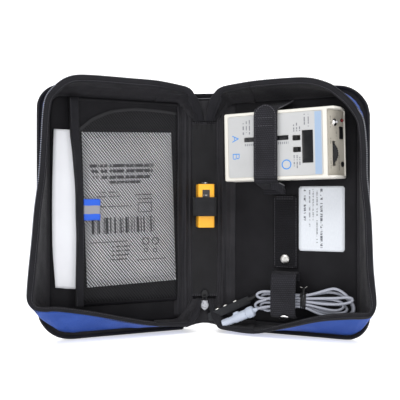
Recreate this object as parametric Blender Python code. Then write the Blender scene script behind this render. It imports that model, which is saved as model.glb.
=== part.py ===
"""Surface electromyography kit: a zipped book-style carrying case, standing open,
with the handheld unit, a spare 9 V battery, the patient lead and the electrode pouch.

Frame: metres, +Z up, X across the open case, the open side faces -Y.
Origin: centre of the bounding box at the floor.
Each half has its own frame: u runs outward from the spine hinge, z up, n out of the
cover towards the inside of the case. P is the distance in front of the spine's back.
"""
import math

import bmesh
import bpy
from mathutils import Matrix, Vector

MM = 0.001

# ---- driving dimensions, millimetres and degrees ----
CASE_H = 263.0          # height of the covers
COVER_W = 160.0         # hinge line to outer edge of a cover
COVER_T = 4.3
CORNER_R = 22.0
SPINE_HALF = 22.0       # hinge axes are at X = +-22
HINGE_P = 4.0           # and 4 mm in front of the spine's back
OPEN_DEG = 22.0         # each half stands 22 degrees forward of flat
CLOSE_DEG = 86.0        # angle from flat when the two rims meet
Y_CENTRE = 50.2723        # P of the bounding box centre
LINING_N = (4.6, 6.4)
WELT_R = 1.6
ROOT_IN = 6.5           # gusset root, inside the cover's edge
WALL_T = 2.4
BAND_W = 6.4
BAND_T = 2.8
GAP = 0.3

UNIT_L, UNIT_B, UNIT_T = 121.2, 71.0, 30.0
UNIT_TILT = 2.5
UNIT_U, UNIT_N, UNIT_Z = 13.5, 7.6, 165.5
SPLIT_C = 12.0          # joint line between rear and front shell

CELL = (17.5, 26.5, 46.4)   # 9 V battery body
CELL_Z = 114.6

CA, SA = math.cos(math.radians(OPEN_DEG)), math.sin(math.radians(OPEN_DEG))
CT, ST = math.cos(math.radians(UNIT_TILT)), math.sin(math.radians(UNIT_TILT))

for old in list(bpy.data.objects):
    bpy.data.objects.remove(old, do_unlink=True)


# ---- frames ----
def world(x, p, z):
    return Vector((x * MM, (Y_CENTRE - p) * MM, z * MM))


def half(side):
    def place(u, z, n):
        k = n - HINGE_P
        return world(side * (SPINE_HALF + u * CA - k * SA), HINGE_P + u * SA + k * CA, z)
    return place


LEFT, RIGHT = half(-1), half(1)


TURN_A, TURN_B = 110.0, 35.0   # the unit lies turned about this point of its face
CR, SR = math.cos(math.radians(1.1)), math.sin(math.radians(1.1))


def unit(a, b, c):
    a, b = TURN_A + (a - TURN_A) * CR - (b - TURN_B) * SR, TURN_B + (a - TURN_A) * SR + (b - TURN_B) * CR
    return RIGHT(UNIT_U + a * CT - c * ST, UNIT_Z + b, UNIT_N + a * ST + c * CT)


def direction(place, axis):
    origin = place(0, 0, 0)
    return (place(*axis) - origin).normalized()


def rim_n(u):
    """Depth of the rim, where the two halves meet when the case is closed."""
    t = math.radians(CLOSE_DEG)
    return HINGE_P + (SPINE_HALF + u * math.cos(t)) / math.sin(t)


# ---- materials ----
def material(name, colour, rough, metal=0.0):
    m = bpy.data.materials.get(name)
    if m is None:
        m = bpy.data.materials.new(name)
        m.use_nodes = True
        b = m.node_tree.nodes["Principled BSDF"]
        b.inputs["Base Color"].default_value = (*colour, 1.0)
        b.inputs["Roughness"].default_value = rough
        b.inputs["Metallic"].default_value = metal
        m.diffuse_color = (*colour, 1.0)
    return m


BLACK_CLOTH = material("black_nylon", (0.018, 0.017, 0.022), 0.75)
LINING_CLOTH = material("lining_nylon", (0.012, 0.012, 0.016), 0.55)
BLUE_CLOTH = material("blue_nylon", (0.03, 0.10, 0.42), 0.6)
MESH_CLOTH = material("mesh_fabric", (0.05, 0.05, 0.055), 0.8)
WEBBING = material("black_webbing", (0.016, 0.016, 0.019), 0.8)
CASE_PLASTIC = material("light_grey_plastic", (0.80, 0.79, 0.74), 0.45)
PANEL_PLASTIC = material("beige_panel", (0.62, 0.58, 0.52), 0.5)
LABEL_FILM = material("label_film", (0.66, 0.68, 0.70), 0.4)
BLACK_PLASTIC = material("black_plastic", (0.012, 0.012, 0.014), 0.4)
CHROME = material("bright_metal", (0.75, 0.75, 0.76), 0.2, 1.0)
STEEL = material("snap_steel", (0.6, 0.6, 0.62), 0.3, 1.0)
RED_LENS = material("red_lens", (0.4, 0.01, 0.015), 0.2)
GREEN_BOARD = material("circuit_board", (0.02, 0.16, 0.06), 0.5)
BATTERY_JACKET = material("battery_jacket", (0.85, 0.42, 0.02), 0.35)
WHITE_PAPER = material("white_paper", (0.85, 0.85, 0.86), 0.7)
FOIL = material("foil_pouch", (0.45, 0.46, 0.48), 0.35, 0.6)
RIBBON = material("ribbon", (0.05, 0.15, 0.55), 0.6)
GREY_LEAD = material("grey_lead", (0.36, 0.38, 0.42), 0.5)
PLUG_GREY = material("plug_grey", (0.50, 0.55, 0.63), 0.4)


# ---- mesh helpers ----
def keep(name, bm, mat, at=None, smooth=None):
    """A closed mesh, given in world metres, as an object whose origin is at `at`."""
    origin = at if at is not None else Vector((0, 0, 0))
    bmesh.ops.translate(bm, verts=bm.verts, vec=-origin)
    bmesh.ops.recalc_face_normals(bm, faces=bm.faces)
    if bm.calc_volume(signed=True) < 0:
        bmesh.ops.reverse_faces(bm, faces=bm.faces)
    mesh = bpy.data.meshes.new(name)
    bm.to_mesh(mesh)
    bm.free()
    mesh.materials.append(mat)
    if smooth is not None:
        mesh.shade_smooth()
        mesh.set_sharp_from_angle(angle=math.radians(smooth))
    obj = bpy.data.objects.new(name, mesh)
    obj.location = origin
    bpy.context.scene.collection.objects.link(obj)
    return obj


def prism(name, outline, lo, hi, place, order, mat, at=None, smooth=None):
    """Extrudes an outline between lo and hi. `order` maps (p, q, h) to the frame's axes."""
    bm = bmesh.new()
    rings = []
    for h in (lo, hi):
        rings.append([bm.verts.new(place(*order(p, q, h))) for p, q in outline])
    n = len(outline)
    for i in range(n):
        j = (i + 1) % n
        bm.faces.new((rings[0][i], rings[0][j], rings[1][j], rings[1][i]))
    bm.faces.new(rings[0][::-1])
    bm.faces.new(rings[1])
    return keep(name, bm, mat, at, smooth)


def flat(p, q, h):
    return p, q, h


def across(p, q, h):
    """Profile in (u, n) or (a, c), extruded along z or b."""
    return p, h, q


def sideways(p, q, h):
    """Profile in (z, n), extruded along u."""
    return h, p, q


def block(name, lo, hi, place, mat, at=None, bevel=0.0):
    obj = prism(name, [(lo[0], lo[1]), (hi[0], lo[1]), (hi[0], hi[1]), (lo[0], hi[1])], lo[2], hi[2], place, flat, mat, at)
    if bevel:
        m = obj.modifiers.new("soft_edges", "BEVEL")
        m.width = bevel * MM
        m.segments = 1
    return obj


def rounded(x0, y0, x1, y1, r, seg=4, corners=(1, 1, 1, 1)):
    """Rounded rectangle, anticlockwise from the lower right corner."""
    out = []
    for k, (cx, cy, a0) in enumerate(((x1, y0, -90), (x1, y1, 0), (x0, y1, 90), (x0, y0, 180))):
        if not corners[k]:
            out.append((cx, cy))
            continue
        ox = cx - r if k in (0, 1) else cx + r
        oy = cy + r if k in (0, 3) else cy - r
        for i in range(seg + 1):
            t = math.radians(a0 + 90 * i / seg)
            out.append((ox + r * math.cos(t), oy + r * math.sin(t)))
    return out


def disc(name, centre, axis, profile, mat, sides=20, at=None):
    """Turned solid: profile is (radius, height) from bottom axis to top axis."""
    z = axis.normalized()
    x = z.orthogonal().normalized()
    y = z.cross(x)
    bm = bmesh.new()
    rings = []
    for r, h in profile:
        base = centre + z * (h * MM)
        if r < 1e-6:
            rings.append([bm.verts.new(base)])
        else:
            rings.append([bm.verts.new(base + (x * math.cos(2 * math.pi * i / sides) + y * math.sin(2 * math.pi * i / sides)) * (r * MM)) for i in range(sides)])
    for lower, upper in zip(rings, rings[1:]):
        for i in range(sides):
            j = (i + 1) % sides
            if len(lower) == 1 and len(upper) == 1:
                continue
            if len(lower) == 1:
                bm.faces.new((lower[0], upper[i], upper[j]))
            elif len(upper) == 1:
                bm.faces.new((lower[i], lower[j], upper[0]))
            else:
                bm.faces.new((lower[i], lower[j], upper[j], upper[i]))
    return keep(name, bm, mat, at if at is not None else centre, 40)


def catmull(points, per):
    """A smooth curve through control points."""
    out = []
    n = len(points)
    for i in range(n - 1):
        p0, p1, p2, p3 = points[max(i - 1, 0)], points[i], points[i + 1], points[min(i + 2, n - 1)]
        for k in range(per):
            t = k / per
            out.append(tuple(0.5 * (2 * b + (c - a) * t + (2 * a - 5 * b + 4 * c - d) * t * t + (3 * b - a - 3 * c + d) * t ** 3) for a, b, c, d in zip(p0, p1, p2, p3)))
    out.append(tuple(points[-1]))
    return out


def inset(path, d):
    """A 2-D path moved inward. The path runs top, outer side, bottom, so inward is to its right."""
    out = []
    for i, (x, y) in enumerate(path):
        ax, ay = path[max(i - 1, 0)]
        bx, by = path[min(i + 1, len(path) - 1)]
        tx, ty = bx - ax, by - ay
        k = math.hypot(tx, ty)
        out.append((x + d * ty / k, y - d * tx / k))
    return out


def cover_path(edge):
    """Stations round a cover's outline, `edge` mm inside its edge: top, outer side, bottom."""
    r = CORNER_R - edge
    x1, y0, y1 = COVER_W - edge, edge, CASE_H - edge
    cx, cy = COVER_W - CORNER_R, CASE_H - CORNER_R
    path = [(4, y1), (37, y1), (72, y1), (106, y1)]
    path += [(cx + r * math.sin(math.radians(t)), cy + r * math.cos(math.radians(t))) for t in (0, 22.5, 45, 67.5, 90)]
    path += [(x1, 205), (x1, 168), (x1, 132), (x1, 96), (x1, 58)]
    path += [(cx + r * math.cos(math.radians(t)), CORNER_R - r * math.sin(math.radians(t))) for t in (0, 22.5, 45, 67.5, 90)]
    path += [(106, y0), (72, y0), (37, y0), (4, y0)]
    return path


# The rim's outline at the same stations. The fabric rim is pushed up at the lower outer
# corners, because the case stands on the edges of its covers.
RIM_RIGHT = [(6, 266), (37, 268.8), (72, 269), (100, 267.2), (122, 261), (135, 253.5), (145, 244), (151.5, 232.5), (155, 220),
             (157.3, 195), (157.8, 166), (161.5, 132), (163, 100), (164, 76),
             (166.4, 50), (166.2, 39), (162.5, 31.5), (154, 28.8), (143, 28.6),
             (110, 24.2), (77, 14), (42, 3.6), (6, 4.6)]
RIM_LEFT = [(6, 265.6), (37, 269.3), (72, 269.3), (106, 269), (126, 267.6), (138, 263), (147.5, 255), (153.5, 244), (156.2, 229),
            (158.8, 200), (162, 168), (166.6, 136), (169.4, 104), (172, 78),
            (173.8, 54), (172.2, 44.5), (166.5, 38.3), (157, 36), (143, 35),
            (110, 28.2), (77, 19.6), (42, 11.8), (6, 8.4)]


def strip(name, stations, mat):
    """A closed strip: each station is a ring of four world points."""
    bm = bmesh.new()
    rings = [[bm.verts.new(p) for p in ring] for ring in stations]
    m = len(rings[0])
    for a, b in zip(rings, rings[1:]):
        for i in range(m):
            j = (i + 1) % m
            bm.faces.new((a[i], a[j], b[j], b[i]))
    bm.faces.new(rings[0][::-1])
    bm.faces.new(rings[-1])
    return keep(name, bm, mat, None, 50)


def cut(target, cutters):
    """Subtracts cutter objects, which stay hidden."""
    for c in cutters:
        c.hide_render = True
        c.display_type = "WIRE"
        m = target.modifiers.new(c.name, "BOOLEAN")
        m.operation = "DIFFERENCE"
        m.object = c


def pin_origin(obj, at):
    """Puts an object's origin on its joint's axis."""
    delta = at - obj.location
    obj.data.transform(Matrix.Translation(-delta))
    obj.location = at


# ---- the two halves of the case ----
def case_half(side, tag, place, rim_stations):
    root = catmull(cover_path(ROOT_IN), 2)
    rim = catmull(rim_stations, 2)
    outline = [(u, z) for u, z in cover_path(0)]
    outline = [(1.0, CASE_H)] + outline[1:-1] + [(1.0, 0.0)]
    prism(tag + "_cover", outline, 0.0, COVER_T, place, flat, BLACK_CLOTH)
    lining = cover_path(ROOT_IN + WALL_T + 3.0)
    prism(tag + "_lining", [(9.0, lining[0][1])] + lining[1:-1] + [(9.0, lining[-1][1])], LINING_N[0], LINING_N[1], place, flat, LINING_CLOTH)
    # welt round the cover's edge
    seam = catmull(cover_path(WELT_R + 0.1), 1)
    ring_n = COVER_T + GAP + WELT_R
    rings = []
    for i, (u, z) in enumerate(seam):
        (au, az), (bu, bz) = seam[max(i - 1, 0)], seam[min(i + 1, len(seam) - 1)]
        k = math.hypot(bu - au, bz - az)
        nx, nz = (bz - az) / k, -(bu - au) / k
        rings.append([place(u + nx * WELT_R * math.cos(t), z + nz * WELT_R * math.cos(t), ring_n + WELT_R * math.sin(t)) for t in [math.pi * 2 * q / 6 for q in range(6)]])
    strip(tag + "_welt", rings, BLACK_CLOTH)
    # gusset wall, from the cover to the rim
    inner_root, inner_rim = inset(root, WALL_T), inset(rim, WALL_T)
    walls = []
    for (ru, rz), (su, sz), (iu, iz), (ju, jz) in zip(root, rim, inner_root, inner_rim):
        top_o = rim_n(su) - GAP - BAND_T - GAP
        top_i = rim_n(ju) - GAP - BAND_T - GAP
        walls.append([place(ru, rz, 4.7), place(su, sz, top_o), place(ju, jz, top_i), place(iu, iz, 4.7)])
    strip(tag + "_gusset", walls, BLUE_CLOTH)
    # zip tape and chain, a flat band on top of the gusset
    band_in = inset(rim, BAND_W)
    bands = []
    for (su, sz), (ju, jz) in zip(rim, band_in):
        a, b = rim_n(su) - GAP, rim_n(ju) - GAP
        bands.append([place(su, sz, a - BAND_T), place(su, sz, a), place(ju, jz, b), place(ju, jz, b - BAND_T)])
    strip(tag + "_zip_band", bands, BLACK_CLOTH)


case_half(-1, "left", LEFT, RIM_LEFT)
case_half(1, "right", RIGHT, RIM_RIGHT)

# ---- spine ----
prism("spine_board", [(-21.4, 0), (21.4, 0), (21.4, 4.3), (-21.4, 4.3)], 0.0, CASE_H, lambda x, p, z: world(x, p, z), flat, BLACK_CLOTH)
prism("spine_lining", [(-18.5, 4.6), (18.5, 4.6), (18.5, 6.6), (-18.5, 6.6)], 10.0, 250.0, lambda x, p, z: world(x, p, z), flat, LINING_CLOTH)


def fold(name, tip_z, end_z, x0, x1, tip_w):
    """Fabric fold that runs from the zip's end on the spine to the rims."""
    bm = bmesh.new()
    mid = 0.5 * (x0 + x1)
    near = [world(mid - tip_w, 6.9, tip_z), world(mid + tip_w, 6.9, tip_z), world(mid + tip_w, 9.0, tip_z), world(mid - tip_w, 9.0, tip_z)]
    far = [world(x0, 6.9, end_z), world(x1, 6.9, end_z), world(x1, 19.0, end_z), world(x0, 19.0, end_z)]
    a, b = [bm.verts.new(v) for v in near], [bm.verts.new(v) for v in far]
    for i in range(4):
        j = (i + 1) % 4
        bm.faces.new((a[i], a[j], b[j], b[i]))
    bm.faces.new(a[::-1])
    bm.faces.new(b)
    return keep(name, bm, BLACK_CLOTH)


fold("spine_top_fold", 233.0, 251.5, -8.0, 8.0, 3.0)
fold("spine_bottom_fold", 36.0, 16.0, -11.5, -6.5, 2.5)

# elastic loop round the spare battery
loop_out = [(-15.5, 6.9), (-15.5, 8.0), (-12.2, 8.0), (-11.4, 36.6), (-10.4, 37.6), (10.6, 37.6), (11.6, 36.6), (12.4, 8.0), (15.5, 8.0), (15.5, 6.9)]
loop_in = [(11.4, 6.9), (10.6, 35.9), (10.2, 36.5), (-10.0, 36.5), (-10.4, 35.9), (-11.2, 6.9)]
prism("battery_loop", loop_out + loop_in, 126.6, 147.2, lambda x, p, z: world(x, p, z), flat, WEBBING)

# spare battery, turned a little in its loop
CELL_TURN = math.radians(6.0)
CELL_X, CELL_P = 0.3, 21.6


def cell(x, p, z):
    return world(CELL_X + x * math.cos(CELL_TURN) + p * math.sin(CELL_TURN), CELL_P - x * math.sin(CELL_TURN) + p * math.cos(CELL_TURN), CELL_Z + z)


def nine_volt(prefix, place, order):
    """The battery body, and its terminal plate with two snaps."""
    w, d, h = CELL
    prism(prefix, rounded(-w / 2, -d / 2, w / 2, d / 2, 1.6, 2), 0.0, h, place, order, BATTERY_JACKET, place(*order(0, 0, 0)), 40)
    bm = bmesh.new()
    rings = []
    plate = rounded(-w / 2 + 1.2, -d / 2 + 1.2, w / 2 - 1.2, d / 2 - 1.2, 1.2, 2)
    for hh in (h + 0.3, h + 0.8):
        rings.append([bm.verts.new(place(*order(p, q, hh))) for p, q in plate])
    m = len(plate)
    for i in range(m):
        j = (i + 1) % m
        bm.faces.new((rings[0][i], rings[0][j], rings[1][j], rings[1][i]))
    bm.faces.new(rings[0][::-1])
    bm.faces.new(rings[1])
    terminal = keep(prefix + "_terminals", bm, STEEL, place(*order(0, 0, h)))
    for tag, q0, r in (("neg", -6.35, 4.2), ("pos", 6.35, 2.9)):
        stud = prism(prefix + "_stud_" + tag, [(r * math.cos(2 * math.pi * i / 10), q0 + r * math.sin(2 * math.pi * i / 10)) for i in range(10)], h + 0.5, h + 2.1, place, order, STEEL)
        stud.hide_render = True
        stud.display_type = "WIRE"
        m = terminal.modifiers.new(tag, "BOOLEAN")
        m.operation = "UNION"
        m.object = stud


nine_volt("spare_battery", cell, flat)

# zip slider at the end of the chain on the spine, with its pull
prism("zip_slider", [(-3.4, 36.6), (3.4, 36.6), (3.8, 41.0), (2.0, 44.5), (-2.0, 44.5), (-3.8, 41.0)], 7.0, 10.6, lambda x, z, p: world(x, p, z), flat, BLACK_PLASTIC)
PULL_TOP = world(0.0, 12.2, 36.2)
prism("zip_pull", [(-3.6, 36.0), (-4.5, 31.6), (-4.2, 27.6), (-2.4, 24.0), (0.0, 22.4), (2.4, 24.0), (4.2, 27.6), (4.5, 31.6), (3.6, 36.0)], 11.2, 13.2, lambda x, z, p: world(x, p, z), flat, STEEL, PULL_TOP)

# ---- left half: booklet, pockets, electrode pouch ----
block("booklet", (42.0, 56.0, 6.7), (146.0, 216.4, 8.9), LEFT, WHITE_PAPER)
panel = prism("pocket_panel", [(10.0, 33.0), (127.0, 33.0), (127.0, 250.0), (10.0, 250.0)], 6.7, 10.0, LEFT, flat, BLACK_CLOTH)
cut(panel, [block("cut_panel", (11.2, 34.2, 6.0), (140.0, 262.0, 9.2), LEFT, BLACK_CLOTH)])
prism("pocket_binding", [(114.9, 36.0), (123.4, 36.0), (127.0, 249.0), (118.4, 249.0)], 14.0, 15.3, LEFT, flat, BLACK_CLOTH)


def turned(cu, cz, deg):
    t = math.radians(deg)
    return lambda p, q: (cu + p * math.cos(t) - q * math.sin(t), cz + p * math.sin(t) + q * math.cos(t))


pouch_at = turned(65.0, 135.4, -2.0)
prism("electrode_pouch", [pouch_at(*v) for v in rounded(-49.0, -80.6, 49.0, 80.6, 1.5, 1)], 10.3, 12.5, LEFT, flat, FOIL)
arc = [(10.8, 232.0), (45.0, 238.0), (75.0, 236.5), (98.0, 229.5), (119.4, 219.0)]
net = prism("mesh_pocket", [(10.8, 36.0), (119.4, 36.0)] + catmull(arc, 2)[::-1], 10.3, 13.7, LEFT, flat, MESH_CLOTH)
cut(net, [block("cut_net", (11.6, 37.0, 9.8), (118.6, 262.0, 12.85), LEFT, MESH_CLOTH)])
prism("fabric_tab", [(99.2, 123.4), (114.4, 123.4), (114.4, 145.2), (99.2, 145.2)], 14.0, 14.8, LEFT, flat, RIBBON)

# ---- right half: straps, card, lead ----
prism("card_label", rounded(84.6, 90.2, 132.8, 158.6, 2.6, 3), 6.7, 7.2, RIGHT, flat, WHITE_PAPER)
prism("webbing_strip", [(57.2, 71.0), (83.8, 71.0), (83.8, 149.2), (57.2, 149.2)], 6.7, 8.5, RIGHT, flat, WEBBING)
disc("snap_stud", RIGHT(70.0, 81.0, 8.8), direction(RIGHT, (0, 0, 1)), [(0, 0), (4.9, 0), (4.9, 0.6), (3.0, 1.0), (2.6, 2.4), (0, 2.6)], STEEL, 16)

# strap over the unit: a sewn anchor below it, and the band that opens from there
anchor = [(149.8, 6.7), (156.2, 6.7), (162.8, 39.2), (161.2, 39.6), (155.0, 8.3), (149.8, 8.3)]
prism("unit_strap_anchor", anchor, 46.2, 71.0, RIGHT, sideways, WEBBING)
STRAP_HINGE = RIGHT(57.0, 162.6, 40.6)
strap_out = [(161.9, 40.1), (163.6, 40.1), (163.9, 41.2), (165.4, 42.4), (234.6, 42.4), (237.2, 40.0), (243.0, 9.0), (244.6, 9.0), (239.0, 40.6), (235.4, 44.0), (164.8, 44.0), (162.4, 41.9)]
prism("unit_strap", strap_out, 46.2, 71.0, RIGHT, sideways, WEBBING, STRAP_HINGE)

# strap over the lead, folded at its top
LEAD_HINGE = RIGHT(73.4, 66.6, 10.0)
lead_strap = [(58.0, 9.0), (66.5, 9.0), (69.0, 12.0), (69.0, 26.0), (66.0, 30.2), (34.0, 31.6), (24.8, 29.9), (21.6, 25.4), (21.2, 19.8),
              (22.9, 19.6), (23.3, 24.6), (25.9, 28.4), (34.2, 29.9), (64.6, 28.6), (67.2, 25.4), (67.2, 12.6), (65.7, 10.7), (58.0, 10.7)]
prism("lead_strap", lead_strap, 60.0, 86.4, RIGHT, sideways, WEBBING, LEAD_HINGE)
snap_axis = direction(RIGHT, (0, -0.80, 0.60))
disc("lead_strap_snap", RIGHT(74.0, 21.84, 26.32), snap_axis, [(0, 0), (4.1, 0), (4.3, 0.7), (3.2, 1.6), (0, 2.0)], STEEL, 16, LEAD_HINGE)

# folded lead: outer shape of the hank
hank = [(47.0, 24.6), (60.0, 25.8), (88.0, 24.8), (112.0, 24.4), (128.0, 26.4), (139.0, 29.0), (145.3, 35.5), (145.0, 43.0), (138.0, 51.5), (127.0, 56.5), (116.0, 55.8), (102.0, 50.0), (88.0, 48.6), (60.0, 47.6), (45.0, 47.2), (39.6, 45.6), (37.0, 42.0), (37.4, 38.6), (40.4, 35.8), (43.6, 29.4)]
prism("lead_hank", hank, 14.4, 24.4, RIGHT, flat, GREY_LEAD, None, 40)
# twist tie round the hank
tie = [(22.8, 12.6), (50.8, 12.6), (50.8, 25.8), (22.8, 25.8)]
ring = prism("lead_tie", tie, 90.6, 94.2, RIGHT, sideways, BLACK_PLASTIC)
cut(ring, [block("cut_tie", (88.0, 24.0, 13.8), (97.0, 49.6, 24.8), RIGHT, BLACK_PLASTIC)])

# plug on the lead
plug_tip, plug_root = Vector((6.6, 12.2, 18.4)), Vector((41.4, 30.2, 20.6))
plug_dir = (plug_root - plug_tip).normalized()
plug_len = (plug_root - plug_tip).length


def plug_axis():
    return RIGHT(*plug_tip), (RIGHT(*plug_root) - RIGHT(*plug_tip)).normalized()


start, axis = plug_axis()
disc("lead_plug", start, axis, [(0, 0), (3.9, 0), (4.5, 0.6), (4.5, 20.0), (4.9, 20.4), (4.9, plug_len - 9.6), (0, plug_len - 9.6)], PLUG_GREY, 14)
disc("plug_collar", start + axis * ((plug_len - 9.3) * MM), axis, [(0, 0), (5.6, 0), (5.7, 6.8), (4.6, 8.3), (0, 8.3)], PLUG_GREY, 14)

# snap block on the lead, lying across the fold beside the spine
bar_a, bar_b = Vector((-8.2, 17.2, 17.4)), Vector((35.4, 40.4, 11.5))
bar_dir = (bar_b - bar_a).normalized()
bar_len = (bar_b - bar_a).length
bar_side = Vector((-bar_dir.y, bar_dir.x, 0)).normalized()
bar_up = bar_dir.cross(bar_side).normalized()


def bar(l, w, t):
    v = bar_a + bar_dir * l + bar_side * w + bar_up * t
    return RIGHT(*v)


prism("lead_block", rounded(0, -4.3, bar_len, 4.3, 1.4, 2), -2.2, 2.2, bar, flat, BLACK_PLASTIC, bar(0, 0, 0), 40)
side_axis = (bar(0, 1, 0) - bar(0, 0, 0)).normalized()
for i, l in enumerate((8.5, 18.5, 30.5)):
    disc("lead_snap_%d" % (i + 1), bar(l, 4.6, 0.2), side_axis, [(0, 0), (2.2, 0), (2.2, 0.9), (0, 1.3)], STEEL, 12)

# ---- the handheld unit ----
shell_out = [(0.0, SPLIT_C + GAP), (UNIT_L, SPLIT_C + GAP), (UNIT_L, 19.0), (116.2, UNIT_T), (0.0, UNIT_T)]
front = prism("unit_front_shell", shell_out, 0.0, UNIT_B, unit, across, CASE_PLASTIC)
cavity = prism("cut_front", [(2.0, 10.0), (140.0, 10.0), (140.0, 36.0), (107.9, 36.0), (107.9, 28.0), (2.0, 28.0)], 2.5, UNIT_B - 2.5, unit, across, CASE_PLASTIC)
DISPLAY = (83.6, 16.0, 94.8, 48.8)
BARGRAPH = (22.4, 40.1, 69.8, 44.9)
SLOTS = ((74.0, 39.0, 82.0, 44.2), (74.4, 27.2, 82.4, 32.4))
windows = [block("cut_win_%d" % i, (w[0], w[1], 26.0), (w[2], w[3], 34.0), unit, CASE_PLASTIC) for i, w in enumerate((DISPLAY, BARGRAPH) + SLOTS)]
door_cut = block("cut_door_f", (-1.0, 9.0, 6.0), (3.0, 35.0, 24.0), unit, CASE_PLASTIC)
cut(front, [cavity] + windows + [door_cut])

rear_out = [(0.0, 0.0), (UNIT_L, 0.0), (UNIT_L, SPLIT_C), (0.0, SPLIT_C)]
rear = prism("unit_rear_shell", rear_out, 0.0, UNIT_B, unit, across, CASE_PLASTIC)
rear_cav = prism("cut_rear", [(2.0, 2.0), (115.8, 2.0), (115.8, 3.6), (140.0, 3.6), (140.0, 20.0), (2.0, 20.0)], 2.5, UNIT_B - 2.5, unit, across, CASE_PLASTIC)
cut(rear, [rear_cav, block("cut_door_r", (-1.0, 9.0, 6.0), (3.0, 35.0, 24.0), unit, CASE_PLASTIC)])


def plate_with_holes(name, lo, hi, c0, c1, holes, place, mat):
    """A flat plate whose rectangular holes are part of its grid."""
    xs = sorted({lo[0], hi[0], *[h[0] for h in holes], *[h[2] for h in holes]})
    ys = sorted({lo[1], hi[1], *[h[1] for h in holes], *[h[3] for h in holes]})

    def solid(i, j):
        if not (0 <= i < len(xs) - 1 and 0 <= j < len(ys) - 1):
            return False
        x, y = 0.5 * (xs[i] + xs[i + 1]), 0.5 * (ys[j] + ys[j + 1])
        return not any(h[0] < x < h[2] and h[1] < y < h[3] for h in holes)

    bm = bmesh.new()
    cache = {}

    def vert(i, j, c):
        if (i, j, c) not in cache:
            cache[i, j, c] = bm.verts.new(place(xs[i], ys[j], c))
        return cache[i, j, c]

    for i in range(len(xs) - 1):
        for j in range(len(ys) - 1):
            if not solid(i, j):
                continue
            bm.faces.new([vert(i, j, c1), vert(i + 1, j, c1), vert(i + 1, j + 1, c1), vert(i, j + 1, c1)])
            bm.faces.new([vert(i, j + 1, c0), vert(i + 1, j + 1, c0), vert(i + 1, j, c0), vert(i, j, c0)])
            for di, dj, p, q in ((-1, 0, (i, j + 1), (i, j)), (1, 0, (i + 1, j), (i + 1, j + 1)), (0, -1, (i, j), (i + 1, j)), (0, 1, (i + 1, j + 1), (i, j + 1))):
                if not solid(i + di, j + dj):
                    bm.faces.new([vert(*p, c0), vert(*q, c0), vert(*q, c1), vert(*p, c1)])
    return keep(name, bm, mat)


plate_with_holes("unit_label", (5.8, 4.4), (103.4, 66.4), UNIT_T + GAP, UNIT_T + GAP + 0.35, [DISPLAY, BARGRAPH, *SLOTS], unit, LABEL_FILM)
inner = 0.35
block("display_window", (DISPLAY[0] + inner, DISPLAY[1] + inner, 28.6), (DISPLAY[2] - inner, DISPLAY[3] - inner, 30.5), unit, BLACK_PLASTIC)
block("bargraph_window", (BARGRAPH[0] + inner, BARGRAPH[1] + inner, 28.6), (BARGRAPH[2] - inner, BARGRAPH[3] - inner, 30.5), unit, BLACK_PLASTIC)
for tag, s in zip("ab", SLOTS):
    block("slide_switch_" + tag, (s[0] + 0.5, s[1] + 0.6, 26.6), (s[0] + 5.2, s[3] - 0.6, 31.8), unit, BLACK_PLASTIC, unit(s[0] + 2.8, 0.5 * (s[1] + s[3]), 28.0))

# slanted end panel, let in between the cheeks of the shell
PANEL_TOP, PANEL_BOTTOM = (108.8, 28.3), (119.2, 4.6)
pl = math.hypot(PANEL_BOTTOM[0] - PANEL_TOP[0], PANEL_BOTTOM[1] - PANEL_TOP[1])
pd = ((PANEL_BOTTOM[0] - PANEL_TOP[0]) / pl, (PANEL_BOTTOM[1] - PANEL_TOP[1]) / pl)


def endp(w, b, t):
    """w down the slope, b up the unit's side, t out of the panel."""
    return unit(PANEL_TOP[0] + pd[0] * w - pd[1] * t, b, PANEL_TOP[1] + pd[1] * w + pd[0] * t)


end_panel = block("end_panel", (0.0, 2.9, -1.6), (pl, UNIT_B - 2.9, 0.0), endp, PANEL_PLASTIC)
WHEEL_C, WHEEL_B, WHEEL_A, WHEEL_R = 20.0, 26.0, 103.2, 15.0
out_axis = (endp(0, 0, 1) - endp(0, 0, 0)).normalized()


def round_cutter(name, w, b, r, t0=-4.0, t1=3.0):
    return disc(name, endp(w, b, t0), out_axis, [(0, 0), (r, 0), (r, t1 - t0), (0, t1 - t0)], BLACK_PLASTIC, 14)


TOGGLE, LED, JACK_RECT, JACK_ROUND = (9.4, 56.6), (21.6, 59.0), (17.6, 40.6, 23.4, 52.6), (21.6, 15.4)
wheel_w = (PANEL_TOP[1] - WHEEL_C) / -pd[1]
cut(end_panel, [block("cut_slot", (wheel_w - 2.9, WHEEL_B - 13.3, -6.0), (wheel_w + 2.8, WHEEL_B + 13.3, 4.0), endp, BLACK_PLASTIC),
                round_cutter("cut_toggle", *TOGGLE, 3.4), round_cutter("cut_led", *LED, 2.0), round_cutter("cut_round", *JACK_ROUND, 2.9),
                block("cut_rect", (JACK_RECT[0] - 0.3, JACK_RECT[1] - 0.3, -6.0), (JACK_RECT[2] + 0.3, JACK_RECT[3] + 0.3, 4.0), endp, BLACK_PLASTIC)])

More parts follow.
